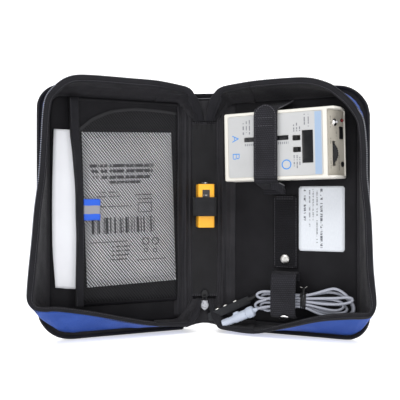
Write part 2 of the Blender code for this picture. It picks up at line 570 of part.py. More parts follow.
c_axis = (unit(0, 0, 1) - unit(0, 0, 0)).normalized()
disc("thumbwheel", unit(WHEEL_A, WHEEL_B, WHEEL_C - 1.4), c_axis, [(0, 0), (WHEEL_R - 0.5, 0), (WHEEL_R, 0.5), (WHEEL_R, 2.3), (WHEEL_R - 0.5, 2.8), (0, 2.8)], BLACK_PLASTIC, 40)
disc("potentiometer", unit(WHEEL_A - 4.0, WHEEL_B, 11.0), c_axis, [(0, 0), (8.2, 0), (8.2, 5.6), (3.0, 5.9), (3.0, 7.2), (0, 7.2)], STEEL, 18)
disc("toggle_bushing", endp(*TOGGLE, -3.6), out_axis, [(2.0, 0), (3.1, 0), (3.1, 4.2), (2.9, 4.6), (2.0, 4.6), (2.0, 0)], CHROME, 16)
TOGGLE_PIVOT = endp(*TOGGLE, 0.0)
disc("toggle_lever", endp(*TOGGLE, -1.2), out_axis, [(0, 0), (1.0, 0), (1.0, 2.6), (1.5, 5.8), (1.4, 6.6), (0, 7.1)], CHROME, 12, TOGGLE_PIVOT)
disc("power_led", endp(*LED, -3.0), out_axis, [(0, 0), (1.6, 0), (1.6, 3.4), (1.1, 4.3), (0, 4.7)], RED_LENS, 12)
jack = block("input_jack", (JACK_RECT[0], JACK_RECT[1], -6.0), (JACK_RECT[2], JACK_RECT[3], 0.5), endp, BLACK_PLASTIC)
cut(jack, [block("cut_jack", (JACK_RECT[0] + 1.0, JACK_RECT[1] + 1.0, -4.6), (JACK_RECT[2] - 1.0, JACK_RECT[3] - 1.0, 2.0), endp, BLACK_PLASTIC)])
disc("earphone_jack", endp(*JACK_ROUND, -5.6), out_axis, [(0, 0), (2.6, 0), (2.6, 6.0), (1.3, 6.0), (1.3, 2.0), (0, 2.0)], BLACK_PLASTIC, 14)

# inside the unit
block("circuit_board", (56.0, 5.0, 8.8), (104.0, 66.0, 10.4), unit, GREEN_BOARD)


def inner_cell(p, q, h):
    """The unit's own battery lies along the unit, terminals inward."""
    return unit(3.6 + h, 22.0 + q, 15.0 + p)


nine_volt("unit_battery", inner_cell, flat)
block("battery_door", (-1.9, 6.5, 4.0), (-0.3, 37.5, 26.0), unit, CASE_PLASTIC)
rear_axis = (unit(0, 0, -1) - unit(0, 0, 0)).normalized()
for a, b in ((7.0, 64.0),):
    disc("case_screw", unit(a, b, -0.3), rear_axis, [(0, 0), (2.6, 0), (2.4, 0.6), (0, 0.8)], STEEL, 12)

# joint axes of the moving pieces
for piece in ("left_cover", "left_lining", "left_welt", "left_gusset", "left_zip_band"):
    pin_origin(bpy.data.objects[piece], LEFT(0.0, CASE_H / 2, HINGE_P))
for piece in ("right_cover", "right_lining", "right_welt", "right_gusset", "right_zip_band"):
    pin_origin(bpy.data.objects[piece], RIGHT(0.0, CASE_H / 2, HINGE_P))
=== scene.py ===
"""Looks of a surface electromyography kit: the handheld unit and its accessories in an open zip case."""

import math

import bmesh
import bpy
import numpy as np
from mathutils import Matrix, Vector, noise

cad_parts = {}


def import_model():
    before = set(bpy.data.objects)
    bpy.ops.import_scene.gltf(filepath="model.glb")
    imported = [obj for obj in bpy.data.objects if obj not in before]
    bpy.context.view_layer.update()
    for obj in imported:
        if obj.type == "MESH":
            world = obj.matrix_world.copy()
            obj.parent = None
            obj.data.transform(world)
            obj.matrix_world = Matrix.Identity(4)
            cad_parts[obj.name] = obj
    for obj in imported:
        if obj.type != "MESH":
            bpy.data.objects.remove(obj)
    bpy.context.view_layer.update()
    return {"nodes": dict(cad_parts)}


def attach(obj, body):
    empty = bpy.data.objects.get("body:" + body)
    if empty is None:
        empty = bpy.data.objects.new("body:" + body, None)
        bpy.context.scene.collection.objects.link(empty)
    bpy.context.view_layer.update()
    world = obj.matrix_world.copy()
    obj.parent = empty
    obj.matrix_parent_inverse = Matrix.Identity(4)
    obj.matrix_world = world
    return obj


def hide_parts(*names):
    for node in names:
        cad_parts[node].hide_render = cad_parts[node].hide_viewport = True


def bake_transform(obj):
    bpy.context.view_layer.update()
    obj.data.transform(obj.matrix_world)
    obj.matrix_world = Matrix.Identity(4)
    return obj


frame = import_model()

# ------------------------------------------------------------------ frames, as in the CAD
MM = 0.001
CASE_H, COVER_W, COVER_T, CORNER_R = 263.0, 160.0, 4.3, 22.0
SPINE_HALF, HINGE_P, Y_CENTRE = 22.0, 4.0, 50.2723
WELT_R, ROOT_IN, WALL_T, BAND_W, BAND_T, GAP = 1.6, 6.5, 2.4, 6.4, 2.8, 0.3
CA, SA = math.cos(math.radians(22)), math.sin(math.radians(22))
CT, ST = math.cos(math.radians(2.5)), math.sin(math.radians(2.5))


def world(x, p, z):
    return Vector((x * MM, (Y_CENTRE - p) * MM, z * MM))


def half(side):
    def place(u, z, n):
        k = n - HINGE_P
        return world(side * (SPINE_HALF + u * CA - k * SA), HINGE_P + u * SA + k * CA, z)
    return place


LEFT, RIGHT = half(-1), half(1)


CR, SR = math.cos(math.radians(1.1)), math.sin(math.radians(1.1))


def unit(a, b, c):
    a, b = 110 + (a - 110) * CR - (b - 35) * SR, 35 + (a - 110) * SR + (b - 35) * CR
    return RIGHT(13.5 + a * CT - c * ST, 165.5 + b, 7.6 + a * ST + c * CT)


def direction(place, axis):
    return (place(*axis) - place(0, 0, 0)).normalized()


def rim_n(u):
    t = math.radians(86)
    return HINGE_P + (SPINE_HALF + u * math.cos(t)) / math.sin(t)


def catmull(points, per):
    out, n = [], len(points)
    for i in range(n - 1):
        p0, p1, p2, p3 = points[max(i - 1, 0)], points[i], points[i + 1], points[min(i + 2, n - 1)]
        for k in range(per):
            t = k / per
            out.append(tuple(0.5 * (2 * b + (c - a) * t + (2 * a - 5 * b + 4 * c - d) * t * t + (3 * b - a - 3 * c + d) * t ** 3) for a, b, c, d in zip(p0, p1, p2, p3)))
    out.append(tuple(points[-1]))
    return out


def inset(path, d):
    out = []
    for i, (x, y) in enumerate(path):
        ax, ay = path[max(i - 1, 0)]
        bx, by = path[min(i + 1, len(path) - 1)]
        tx, ty = bx - ax, by - ay
        k = math.hypot(tx, ty)
        out.append((x + d * ty / k, y - d * tx / k))
    return out


def cover_path(edge, top=CORNER_R, low=CORNER_R, wide=COVER_W):
    r, rt = low - edge, top - edge
    x1, y0, y1 = wide - edge, edge, CASE_H - edge
    cx, tx, ty = wide - low, wide - top, CASE_H - top
    path = [(4, y1), (37, y1), (72, y1), (106, y1)]
    path += [(tx + rt * math.sin(math.radians(t)), ty + rt * math.cos(math.radians(t))) for t in (0, 22.5, 45, 67.5, 90)]
    path += [(x1, 205), (x1, 168), (x1, 132), (x1, 96), (x1, 58)]
    path += [(cx + r * math.cos(math.radians(t)), low - r * math.sin(math.radians(t))) for t in (0, 22.5, 45, 67.5, 90)]
    path += [(106, y0), (72, y0), (37, y0), (4, y0)]
    return path


RIM = {
    1: [(6, 266), (37, 268.8), (72, 269), (100, 267.2), (120.4, 260.2), (131.8, 251.8), (141.8, 242.2), (149.6, 231.4), (154.8, 219.6),
        (157.3, 195), (157.8, 166), (161.5, 132), (163, 100), (164, 76),
        (166.4, 50), (166.0, 39.6), (162.0, 32.4), (153, 30.4), (142, 29.4),
        (110, 23.6), (77, 13.2), (42, 3.6), (6, 4.6)],
    -1: [(6, 265.6), (37, 269.3), (72, 269.3), (106, 269), (126, 267.6), (138, 263), (147.5, 255), (155.4, 244.4), (158.4, 229),
         (160.2, 200), (162.4, 168), (166.6, 136), (169.4, 104), (172, 78),
         (173.8, 54), (172.2, 44.5), (166.5, 38.3), (157, 36), (143, 35),
         (110, 28.2), (77, 19.6), (42, 11.8), (6, 8.4)],
}


def lerp(a, b, t):
    return a + (b - a) * t


def smooth(t):
    t = max(0.0, min(1.0, t))
    return t * t * (3 - 2 * t)


def fbm(v, scale, seed=0.0, octaves=3):
    """Smooth noise of a point in metres; scale is in millimetres."""
    q = Vector(v) * (1000.0 / scale) + Vector((seed * 7.3, seed * 3.1, seed * 5.7))
    s, amp, total = 0.0, 1.0, 0.0
    for _ in range(octaves):
        s += amp * noise.noise(q)
        total += amp
        amp *= 0.5
        q = q * 2.03
    return s / total


def resample(points, n):
    """A 3-D curve through the points, with n evenly spaced points."""
    fine = np.array(catmull([tuple(p) for p in points], 12))
    step = np.concatenate([[0], np.cumsum(np.linalg.norm(np.diff(fine, axis=0), axis=1))])
    at = np.linspace(0, step[-1], n)
    return [Vector([float(np.interp(t, step, fine[:, k])) for k in range(3)]) for t in at]


# ------------------------------------------------------------------ camera, light, stage
cam_data = bpy.data.cameras.new("camera")
cam_data.lens, cam_data.sensor_width = 54.0, 36.0
cam_data.clip_start, cam_data.clip_end = 0.02, 30
camera = bpy.data.objects.new("camera", cam_data)
camera.location = world(-5.2, 674, 144)
camera.rotation_euler = (math.radians(90), 0, 0)
bpy.context.scene.collection.objects.link(camera)
bpy.context.scene.camera = camera
bpy.context.scene.view_settings.view_transform = "Standard"


def area_light(name, at, look, size, power, colour=(1, 1, 1)):
    d = bpy.data.lights.new(name, "AREA")
    d.shape = "RECTANGLE"
    d.size, d.size_y = size
    d.energy = power
    d.color = colour
    o = bpy.data.objects.new(name, d)
    o.location = at
    o.rotation_euler = (Vector(look) - Vector(at)).to_track_quat("-Z", "Y").to_euler()
    bpy.context.scene.collection.objects.link(o)
    return o


area_light("key_above", (-0.25, -0.75, 1.25), (0, 0, 0.12), (0.9, 0.7), 10.2)
area_light("fill_left", (-1.3, -0.9, 0.45), (0, 0, 0.13), (0.7, 1.0), 5.0)
area_light("fill_right", (1.3, -0.8, 0.5), (0, 0, 0.13), (0.7, 1.0), 4.6)
area_light("front_low", (0.1, -1.7, 0.35), (0, 0, 0.1), (0.9, 0.5), 3.2)

world_shader = bpy.data.worlds.new("studio")
world_shader.use_nodes = True
world_shader.node_tree.nodes["Background"].inputs["Color"].default_value = (1, 1, 1, 1)
world_shader.node_tree.nodes["Background"].inputs["Strength"].default_value = 0.44
bpy.context.scene.world = world_shader


def stage_floor():
    bm = bmesh.new()
    rows = [(-3.0, 0.0), (0.9, 0.0)]
    rows += [(0.9 + 0.5 * math.sin(math.radians(t)), 0.5 - 0.5 * math.cos(math.radians(t))) for t in range(15, 91, 15)]
    rows += [(1.4, 3.2)]
    verts = [[bm.verts.new((x, y, z - 0.0002)) for x in (-4.0, 4.0)] for y, z in rows]
    for a, b in zip(verts, verts[1:]):
        bm.faces.new((a[0], a[1], b[1], b[0]))
    me = bpy.data.meshes.new("floor")
    bm.to_mesh(me)
    bm.free()
    me.shade_smooth()
    o = bpy.data.objects.new("floor", me)
    bpy.context.scene.collection.objects.link(o)
    m = bpy.data.materials.new("floor_white")
    m.use_nodes = True
    b = m.node_tree.nodes["Principled BSDF"]
    b.inputs["Base Color"].default_value = (0.93, 0.93, 0.95, 1)
    b.inputs["Roughness"].default_value = 0.35
    b.inputs["Emission Color"].default_value = (1, 1, 1, 1)
    b.inputs["Emission Strength"].default_value = 0.5
    me.materials.append(m)


stage_floor()


# ------------------------------------------------------------------ materials
class Nodes:
    """Small helper for building node trees."""

    def __init__(self, name, rough=0.6, metal=0.0, **sockets):
        self.m = bpy.data.materials.new(name)
        self.m.use_nodes = True
        self.t = self.m.node_tree
        self.b = self.t.nodes["Principled BSDF"]
        self.b.inputs["Roughness"].default_value = rough
        self.b.inputs["Metallic"].default_value = metal
        for k, v in sockets.items():
            self.b.inputs[k.replace("_", " ")].default_value = v

    def new(self, kind, **props):
        n = self.t.nodes.new(kind)
        for k, v in props.items():
            setattr(n, k, v)
        return n

    def put(self, socket, value):
        if isinstance(value, bpy.types.NodeSocket):
            self.t.links.new(value, socket)
        else:
            socket.default_value = value

    def math(self, op, a, b=0.0, c=None, clamp=False):
        n = self.new("ShaderNodeMath", operation=op, use_clamp=clamp)
        self.put(n.inputs[0], a)
        self.put(n.inputs[1], b)
        if c is not None:
            self.put(n.inputs[2], c)
        return n.outputs[0]

    def coords(self, uv):
        n = self.new("ShaderNodeTexCoord")
        return n.outputs["UV" if uv else "Object"]

    def scaled(self, vec, s):
        n = self.new("ShaderNodeVectorMath", operation="MULTIPLY")
        self.put(n.inputs[0], vec)
        n.inputs[1].default_value = s if isinstance(s, tuple) else (s, s, s)
        return n.outputs[0]

    def split(self, vec):
        n = self.new("ShaderNodeSeparateXYZ")
        self.put(n.inputs[0], vec)
        return n.outputs[0], n.outputs[1], n.outputs[2]

    def noise(self, vec, scale, detail=3.0, rough=0.55):
        n = self.new("ShaderNodeTexNoise")
        self.put(n.inputs["Vector"], vec)
        n.inputs["Scale"].default_value = scale
        n.inputs["Detail"].default_value = detail
        n.inputs["Roughness"].default_value = rough
        return n.outputs["Fac"]

    def remap(self, v, a, b, c, d):
        n = self.new("ShaderNodeMapRange")
        self.put(n.inputs["Value"], v)
        for k, x in zip(("From Min", "From Max", "To Min", "To Max"), (a, b, c, d)):
            n.inputs[k].default_value = x
        return n.outputs[0]

    def mix(self, fac, a, b, blend="MIX"):
        n = self.new("ShaderNodeMix", data_type="RGBA", blend_type=blend)
        self.put(n.inputs[0], fac)
        self.put(n.inputs[6], (*a, 1) if isinstance(a, tuple) else a)
        self.put(n.inputs[7], (*b, 1) if isinstance(b, tuple) else b)
        return n.outputs[2]

    def colour(self, c):
        self.put(self.b.inputs["Base Color"], (*c, 1) if isinstance(c, tuple) else c)

    def rough(self, r):
        self.put(self.b.inputs["Roughness"], r)

    def bump(self, height, dist, strength=1.0):
        prev = self.b.inputs["Normal"].links[0].from_socket if self.b.inputs["Normal"].links else None
        n = self.new("ShaderNodeBump")
        n.inputs["Strength"].default_value = strength
        n.inputs["Distance"].default_value = dist
        self.put(n.inputs["Height"], height)
        if prev:
            self.put(n.inputs["Normal"], prev)
        self.put(self.b.inputs["Normal"], n.outputs[0])

    def rect(self, x, y, x0, y0, x1, y1, soft=0.00008):
        """1 inside a rectangle of the (x, y) coordinates, in metres."""
        out = None
        for v, lo, hi in ((x, x0, x1), (y, y0, y1)):
            a = self.remap(v, lo - soft, lo + soft, 0, 1)
            b = self.remap(v, hi - soft, hi + soft, 1, 0)
            ab = self.math("MULTIPLY", a, b)
            out = ab if out is None else self.math("MULTIPLY", out, ab)
        return out


def weave(k, uv, pitch, over=1.0):
    """Plain weave: height 0..1, and the mask of warp over weft."""
    x, y, _ = k.split(k.coords(uv)) if uv else k.split(k.coords(False))
    w = math.pi / pitch
    sx, sy = k.math("SINE", k.math("MULTIPLY", x, w)), k.math("SINE", k.math("MULTIPLY", y, w))
    cx, cy = k.math("ABSOLUTE", sx), k.math("ABSOLUTE", sy)
    which = k.math("GREATER_THAN", k.math("MULTIPLY", sx, sy), 0.0)
    warp = k.math("MULTIPLY", k.math("POWER", cx, 0.6), k.math("ADD", 0.55, k.math("MULTIPLY", cy, 0.45)))
    weft = k.math("MULTIPLY", k.math("POWER", cy, 0.6), k.math("ADD", 0.55, k.math("MULTIPLY", cx, 0.45)))
    n = k.new("ShaderNodeMix", data_type="FLOAT")
    k.put(n.inputs[0], which)
    k.put(n.inputs[2], warp)
    k.put(n.inputs[3], weft)
    return n.outputs[0], which


def cloth(name, dark, light, pitch=0.0009, rough=0.7, sheen=0.15, depth=0.00022, spec=0.35, wear=0.35, uv=True, tint=(1, 1, 1)):
    k = Nodes(name, rough, Sheen_Weight=sheen, Sheen_Roughness=0.4, Specular_IOR_Level=spec, Sheen_Tint=(*tint, 1))
    h, which = weave(k, uv, pitch)
    big = k.noise(k.coords(False), 38.0, 4.0)
    fine = k.noise(k.coords(False), 900.0, 2.0)
    fac = k.math("MULTIPLY", k.remap(big, 0.35, 0.7, 0.0, 1.0), wear)
    # the weave's crowns are painted lighter and the hollows between yarns darker: painted shade of the weave
    fac = k.math("ADD", fac, k.math("MULTIPLY", h, 0.45), clamp=True)
    base = k.mix(fac, dark, light)
    base = k.mix(k.math("MULTIPLY", k.remap(fine, 0.35, 0.65, 0, 1), 0.25), base, tuple(0.6 * c for c in dark))
    k.colour(base)
    k.rough(k.remap(big, 0.3, 0.75, rough + 0.08, rough - 0.1))
    k.bump(h, depth, 0.9)
    k.bump(k.noise(k.coords(False), 120.0, 3.0), 0.0006, 0.35)
    return k.m


def webbing_material(name, dark, light, rib=0.0013, across=0.0007, uv=True):
    """Ribbed tape: ribs run across it, fine yarns along it."""
    k = Nodes(name, 0.74, Sheen_Weight=0.05, Sheen_Roughness=0.35, Specular_IOR_Level=0.14)
    x, y, _ = k.split(k.coords(uv))
    row = k.math("FLOOR", k.math("DIVIDE", y, rib))
    shift = k.math("MULTIPLY", k.math("MODULO", row, 2.0), across)
    rx = k.math("ABSOLUTE", k.math("SINE", k.math("MULTIPLY", k.math("ADD", x, shift), math.pi / (2 * across))))
    ry = k.math("ABSOLUTE", k.math("SINE", k.math("MULTIPLY", y, math.pi / rib)))
    h = k.math("MULTIPLY", k.math("POWER", ry, 0.5), k.math("ADD", 0.5, k.math("MULTIPLY", rx, 0.5)))
    big = k.noise(k.coords(False), 60.0, 3.0)
    # rib crowns are painted lighter and the grooves darker: painted shade of the ribs
    k.colour(k.mix(k.math("MULTIPLY", h, k.remap(big, 0.3, 0.7, 0.55, 1.0)), dark, light))
    k.rough(k.remap(h, 0, 1, 0.85, 0.62))
    k.bump(h, 0.0004, 1.0)
    k.bump(k.noise(k.coords(False), 1600.0, 2.0), 0.0001, 0.5)
    return k.m


def plastic(name, colour, rough=0.4, grain=0.00005, vary=0.06, spec=0.45, hollow_shade=0.0, grain_scale=1800.0):
    k = Nodes(name, rough, Specular_IOR_Level=spec)
    big = k.noise(k.coords(False), 25.0, 4.0)
    fine = k.noise(k.coords(False), grain_scale, 2.0)
    a = tuple(c * (1 - vary) for c in colour)
    b = tuple(min(1, c * (1 + vary)) for c in colour)
    base = k.mix(k.remap(big, 0.3, 0.7, 0, 1), a, b)
    if hollow_shade:
        # painted shade: concave hollows (low pointiness) are darkened towards 45% of the colour
        geo = k.new("ShaderNodeNewGeometry")
        edge = k.remap(geo.outputs["Pointiness"], 0.5, 0.42, 0.0, hollow_shade)
        base = k.mix(edge, base, tuple(c * 0.45 for c in colour))
    k.colour(base)
    k.rough(k.remap(k.noise(k.coords(False), 70.0, 4.0), 0.3, 0.7, rough - 0.05, rough + 0.09))
    k.bump(fine, grain, 0.8)
    return k.m


def metal(name, colour, rough=0.2, brush=False, scale=900.0):
    k = Nodes(name, rough, 1.0)
    n = k.noise(k.scaled(k.coords(False), (1, 1, 0.06) if brush else (1, 1, 1)), scale, 3.0)
    k.colour(k.mix(k.remap(n, 0.3, 0.7, 0, 1), tuple(c * 0.86 for c in colour), colour))
    k.rough(k.remap(k.noise(k.coords(False), 140.0, 4.0), 0.3, 0.7, rough - 0.06, rough + 0.12))
    k.bump(n, 0.000004, 0.5)
    return k.m


BLACK_NYLON = cloth("black_nylon_cloth", (0.009, 0.0085, 0.0105), (0.026, 0.025, 0.030), 0.0009, 0.66, 0.10, spec=0.28)
FACING = cloth("facing_cloth", (0.008, 0.0078, 0.010), (0.026, 0.0245, 0.030), 0.0007, 0.6, 0.09, 0.00014, spec=0.28)
LINING = cloth("lining_cloth", (0.0040, 0.0038, 0.0052), (0.0105, 0.0098, 0.0130), 0.0006, 0.52, 0.02, 0.00010, spec=0.16)
SPINE_CLOTH = cloth("spine_lining_cloth", (0.0032, 0.0030, 0.0041), (0.0094, 0.0089, 0.0116), 0.0006, 0.40, 0.0, 0.00008, spec=0.22)
BLUE = cloth("blue_nylon_cloth", (0.012, 0.048, 0.24), (0.030, 0.098, 0.44), 0.0008, 0.6, 0.04, 0.00016, spec=0.22)
TAPE = webbing_material("zip_tape", (0.007, 0.007, 0.009), (0.025, 0.0245, 0.029), 0.0011, 0.0006)
WEBBING = webbing_material("strap_webbing", (0.0045, 0.0043, 0.0056), (0.030, 0.0295, 0.036), 0.0021, 0.0012)
WEBBING_DARK = webbing_material("sewn_strip_webbing", (0.0028, 0.0027, 0.0036), (0.0115, 0.011, 0.0140), 0.0019, 0.0012)
ELASTIC = webbing_material("elastic_webbing", (0.010, 0.010, 0.011), (0.030, 0.030, 0.033), 0.0012, 0.0005)
NET = plastic("net_yarn", (0.012, 0.012, 0.014), 0.6, 0.00004, 0.2, 0.3)
THREAD = plastic("stitch_thread", (0.075, 0.073, 0.084), 0.55, 0.00005, 0.2, 0.4, grain_scale=3000.0)
# lighter grey copy of the black teeth, used along the outer side as a painted highlight
TEETH_PAINTED_GLINT = plastic("zip_teeth", (0.30, 0.31, 0.34), 0.32, 0.00003, 0.12, 0.6)
TEETH_DARK = plastic("zip_teeth_black", (0.035, 0.035, 0.04), 0.32, 0.00003, 0.12, 0.6)
# the off-white and beige plastics get painted shade in their concave hollows (last argument)
CASE_PLASTIC = plastic("off_white_plastic", (0.70, 0.68, 0.625), 0.42, 0.00004, 0.02, 0.45, 0.25)
PANEL_PLASTIC = plastic("beige_plastic", (0.49, 0.465, 0.415), 0.5, 0.00005, 0.04, 0.4, 0.2)
BLACK_PLASTIC = plastic("black_moulded", (0.012, 0.012, 0.0135), 0.42, 0.00005, 0.15, 0.28)
WINDOW = plastic("dark_window", (0.009, 0.009, 0.011), 0.14, 0.000003, 0.1, 0.30)
CHROME = metal("bright_chrome", (0.86, 0.85, 0.84), 0.10)
STEEL = metal("satin_steel", (0.58, 0.58, 0.60), 0.3, True)
SNAP = metal("nickel_snap", (0.74, 0.73, 0.70), 0.2)
LEAD = plastic("lead_jacket", (0.355, 0.37, 0.43), 0.42, 0.00003, 0.08, 0.45)
PLUG = plastic("plug_grey", (0.47, 0.52, 0.62), 0.38, 0.00003, 0.04, 0.5)
BOARD = plastic("solder_mask", (0.02, 0.15, 0.06), 0.4, 0.00003, 0.15, 0.5)


# ------------------------------------------------------------------ mesh helpers
def finish_mesh(name, verts, faces, mats, uv=None, smooth=50, face_mats=None):
    me = bpy.data.meshes.new(name)
    me.from_pydata([tuple(v) for v in verts], [], faces)
    for m in (mats if isinstance(mats, (list, tuple)) else [mats]):
        me.materials.append(m)
    if face_mats is not None:
        me.polygons.foreach_set("material_index", face_mats)
    if uv is not None:
        layer = me.uv_layers.new(name="UVMap")
        idx = np.zeros(len(me.loops), np.int32)
        me.loops.foreach_get("vertex_index", idx)
        layer.data.foreach_set("uv", np.array(uv, np.float32)[idx].ravel())
    bm = bmesh.new()
    bm.from_mesh(me)
    bmesh.ops.recalc_face_normals(bm, faces=bm.faces)
    bm.to_mesh(me)
    bm.free()
    if smooth:
        me.shade_smooth()
        me.set_sharp_from_angle(angle=math.radians(smooth))
    o = bpy.data.objects.new(name, me)
    bpy.context.scene.collection.objects.link(o)
    return o


def settle(o, body=None, replaces=(), blend=None):
    if blend:
        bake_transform(o)
    elif body:
        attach(o, body)
    if replaces:
        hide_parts(*replaces)
    return o


def grid(name, rows, mat, thick=0.0, offset=0.0, cyclic=False, smooth=60, uv_origin=(0.0, 0.0)):
    """A cloth from rows of points; UVs are in metres along it."""
    n, m = len(rows), len(rows[0])
    verts = [p for r in rows for p in r]
    faces = []
    for i in range(n - 1):
        for j in range(m - 1 if not cyclic else m):
            k = (j + 1) % m
            faces.append((i * m + j, (i + 1) * m + j, (i + 1) * m + k, i * m + k))
    mid = m // 2
    along, total = [0.0], 0.0
    for i in range(1, n):
        total += (rows[i][mid] - rows[i - 1][mid]).length
        along.append(total)
    uv = []
    for i in range(n):
        v = 0.0
        for j in range(m):
            if j:
                v += (rows[i][j] - rows[i][j - 1]).length
            uv.append((along[i] + uv_origin[0], v + uv_origin[1]))
    o = finish_mesh(name, verts, faces, mat, uv, smooth)
    if thick:
        s = o.modifiers.new("cloth_thickness", "SOLIDIFY")
        s.thickness, s.offset = thick * MM, offset
        s.use_even_offset = False
    return o


def thicken(o, thick, toward):
    """Gives a cloth its thickness on the side that toward points to."""
    total = Vector((0, 0, 0))
    for p in o.data.polygons:
        total += p.normal * p.area
    s = o.modifiers.new("cloth_thickness", "SOLIDIFY")
    s.thickness, s.offset = thick * MM, (1 if total.dot(toward) > 0 else -1)
    s.use_even_offset = False


def loft(curves, n, per=4):
    """Rows of points through several 3-D curves."""
    lines = [resample(c, n) for c in curves]
    rows = []
    for i in range(n):
        rows.append([Vector(p) for p in catmull([tuple(line[i]) for line in lines], per)])
    return rows


def swept(name, centres, frames, profile, mat, smooth=50, caps=True, uv_scale=1.0):
    """A closed profile swept along centres; frames give (side, up) unit vectors; profile is (side, up) in mm."""
    verts, faces, uv = [], [], []
    m, n = len(profile), len(centres)
    arc = [0.0]
    for (a, b), (c, d) in zip(profile, profile[1:]):
        arc.append(arc[-1] + math.hypot(c - a, d - b) * MM)
    run = 0.0
    for i, (c, (s, u)) in enumerate(zip(centres, frames)):
        if i:
            run += (c - centres[i - 1]).length
        for k, (x, y) in enumerate(profile):
            verts.append(c + s * (x * MM) + u * (y * MM))
            uv.append((arc[k], run))
    for i in range(n - 1):
        for k in range(m):
            q = (k + 1) % m
            faces.append((i * m + k, i * m + q, (i + 1) * m + q, (i + 1) * m + k))
    if caps:
        faces.append(tuple(range(m))[::-1])
        faces.append(tuple((n - 1) * m + k for k in range(m)))
    return finish_mesh(name, verts, faces, mat, uv, smooth)


class Many:
    """Collects many small solids into one mesh."""

    def __init__(self):
        self.v, self.f, self.m = [], [], []

    def rings(self, rings, mat=0):
        base, m = len(self.v), len(rings[0])
        for r in rings:
            self.v.extend(r)
        for i in range(len(rings) - 1):
            for k in range(m):
                q = (k + 1) % m
                self.f.append((base + i * m + k, base + i * m + q, base + (i + 1) * m + q, base + (i + 1) * m + k))
                self.m.append(mat)
        self.f.append(tuple(base + k for k in range(m))[::-1])
        self.f.append(tuple(base + (len(rings) - 1) * m + k for k in range(m)))
        self.m += [mat, mat]

    def pill(self, a, b, r, sides=6, mat=0, squash=1.0, up=None):
        """A rounded bar from a to b."""
        a, b = Vector(a), Vector(b)
        d = (b - a)
        ln = d.length
        d.normalize()
        s = d.cross(up).normalized() if up is not None else d.orthogonal().normalized()
        u = s.cross(d)
        rings = []
        for t, k in ((0, 0.35), (0.12, 0.85), (0.3, 1.0), (0.7, 1.0), (0.88, 0.85), (1, 0.35)):
            c = a + d * (ln * t)
            rings.append([c + (s * math.cos(2 * math.pi * q / sides) + u * math.sin(2 * math.pi * q / sides) * squash) * (r * k) for q in range(sides)])
        self.rings(rings, mat)

    def block(self, c, x, y, z, hx, hy, hz, ch=0.25, mat=0):
        """A chamfered block; x, y, z are unit vectors and h* half sizes in metres; ch is a share of the smaller side."""
        e = ch * min(hx, hy)
        ring = [(-hx + e, -hy), (hx - e, -hy), (hx, -hy + e), (hx, hy - e), (hx - e, hy), (-hx + e, hy), (-hx, hy - e), (-hx, -hy + e)]
        rings = []
        for t, k in ((-hz, 0.78), (-hz + e, 1.0), (hz - e, 1.0), (hz, 0.78)):
            rings.append([c + x * (p * k) + y * (q * k) + z * t for p, q in ring])
        self.rings(rings, mat)

    def turned(self, centre, axis, profile, sides=24, mat=0, up=None):
        """A turned solid: profile of (radius, height) in mm, closed at both ends."""
        z = Vector(axis).normalized()
        x = (up - z * up.dot(z)).normalized() if up is not None else z.orthogonal().normalized()
        y = z.cross(x)
        rings = []
        for r, h in profile:
            r = max(r, 0.02)
            rings.append([centre + z * (h * MM) + (x * math.cos(2 * math.pi * i / sides) + y * math.sin(2 * math.pi * i / sides)) * (r * MM) for i in range(sides)])
        self.rings(rings, mat)

    def make(self, name, mats, smooth=40):
        return finish_mesh(name, self.v, self.f, mats, None, smooth, self.m)


def stitches(many, points, normal_of, pitch=3.0, length=2.1, r=0.28, lift=0.12):
    """Rows of thread along a curve of points."""
    pts = np.array([tuple(p) for p in points])
    step = np.concatenate([[0], np.cumsum(np.linalg.norm(np.diff(pts, axis=0), axis=1))])
    total, s = step[-1], pitch * MM * 0.5

    def at(t):
        return Vector([float(np.interp(t, step, pts[:, k])) for k in range(3)])
    while s + length * MM < total:
        a, b = at(s), at(s + length * MM)
        nrm = normal_of(a) if callable(normal_of) else normal_of
        many.pill(a + nrm * (lift * MM), b + nrm * (lift * MM), r * MM, 6, squash=0.7, up=nrm)
        s += pitch * MM


TOP_R, LOW_R = {-1: 25.0, 1: 34.0}, {-1: 35.0, 1: 24.0}
WIDE = {-1: COVER_W + 0.8, 1: COVER_W - 2.6}


def limit(z, e=0.0, w=COVER_W, h=CASE_H, r0=CORNER_R, top=None):
    """Outer edge of a cover at height z, e mm inside it."""
    top = r0 if top is None else top
    if z < r0:
        k, q = r0 - z, r0
    elif z > h - top:
        k, q = z - (h - top), top
    else:
        return w - e
    r = max(q - e, 0.5)
    return w - q + math.sqrt(max(r * r - k * k, 0.0))


def ticks(a, b, near=(0, 0.35, 0.9, 1.7, 2.9, 4.6, 6.2, 6.9, 7.6, 9.5, 13, 18, 22), step=9.0):
    left = [a + t for t in near]
    right = [b - t for t in near][::-1]
    n = max(1, int(round((right[0] - left[-1]) / step)))
    return left + [lerp(left[-1], right[0], i / n) for i in range(1, n)] + right


def edge_distance(u, z, u0, w, h, r, top=None):
    """Distance to the outline of a panel with rounded outer corners."""
    d = u - u0
    du, lo, hi = w - u, z, h - z
    if u > w - r and z < r:
        return min(d, r - math.hypot(u - (w - r), r - z))
    top = r if top is None else top
    if u > w - top and z > h - top:
        return min(d, top - math.hypot(u - (w - top), z - (h - top)))
    return min(d, du, lo, hi)


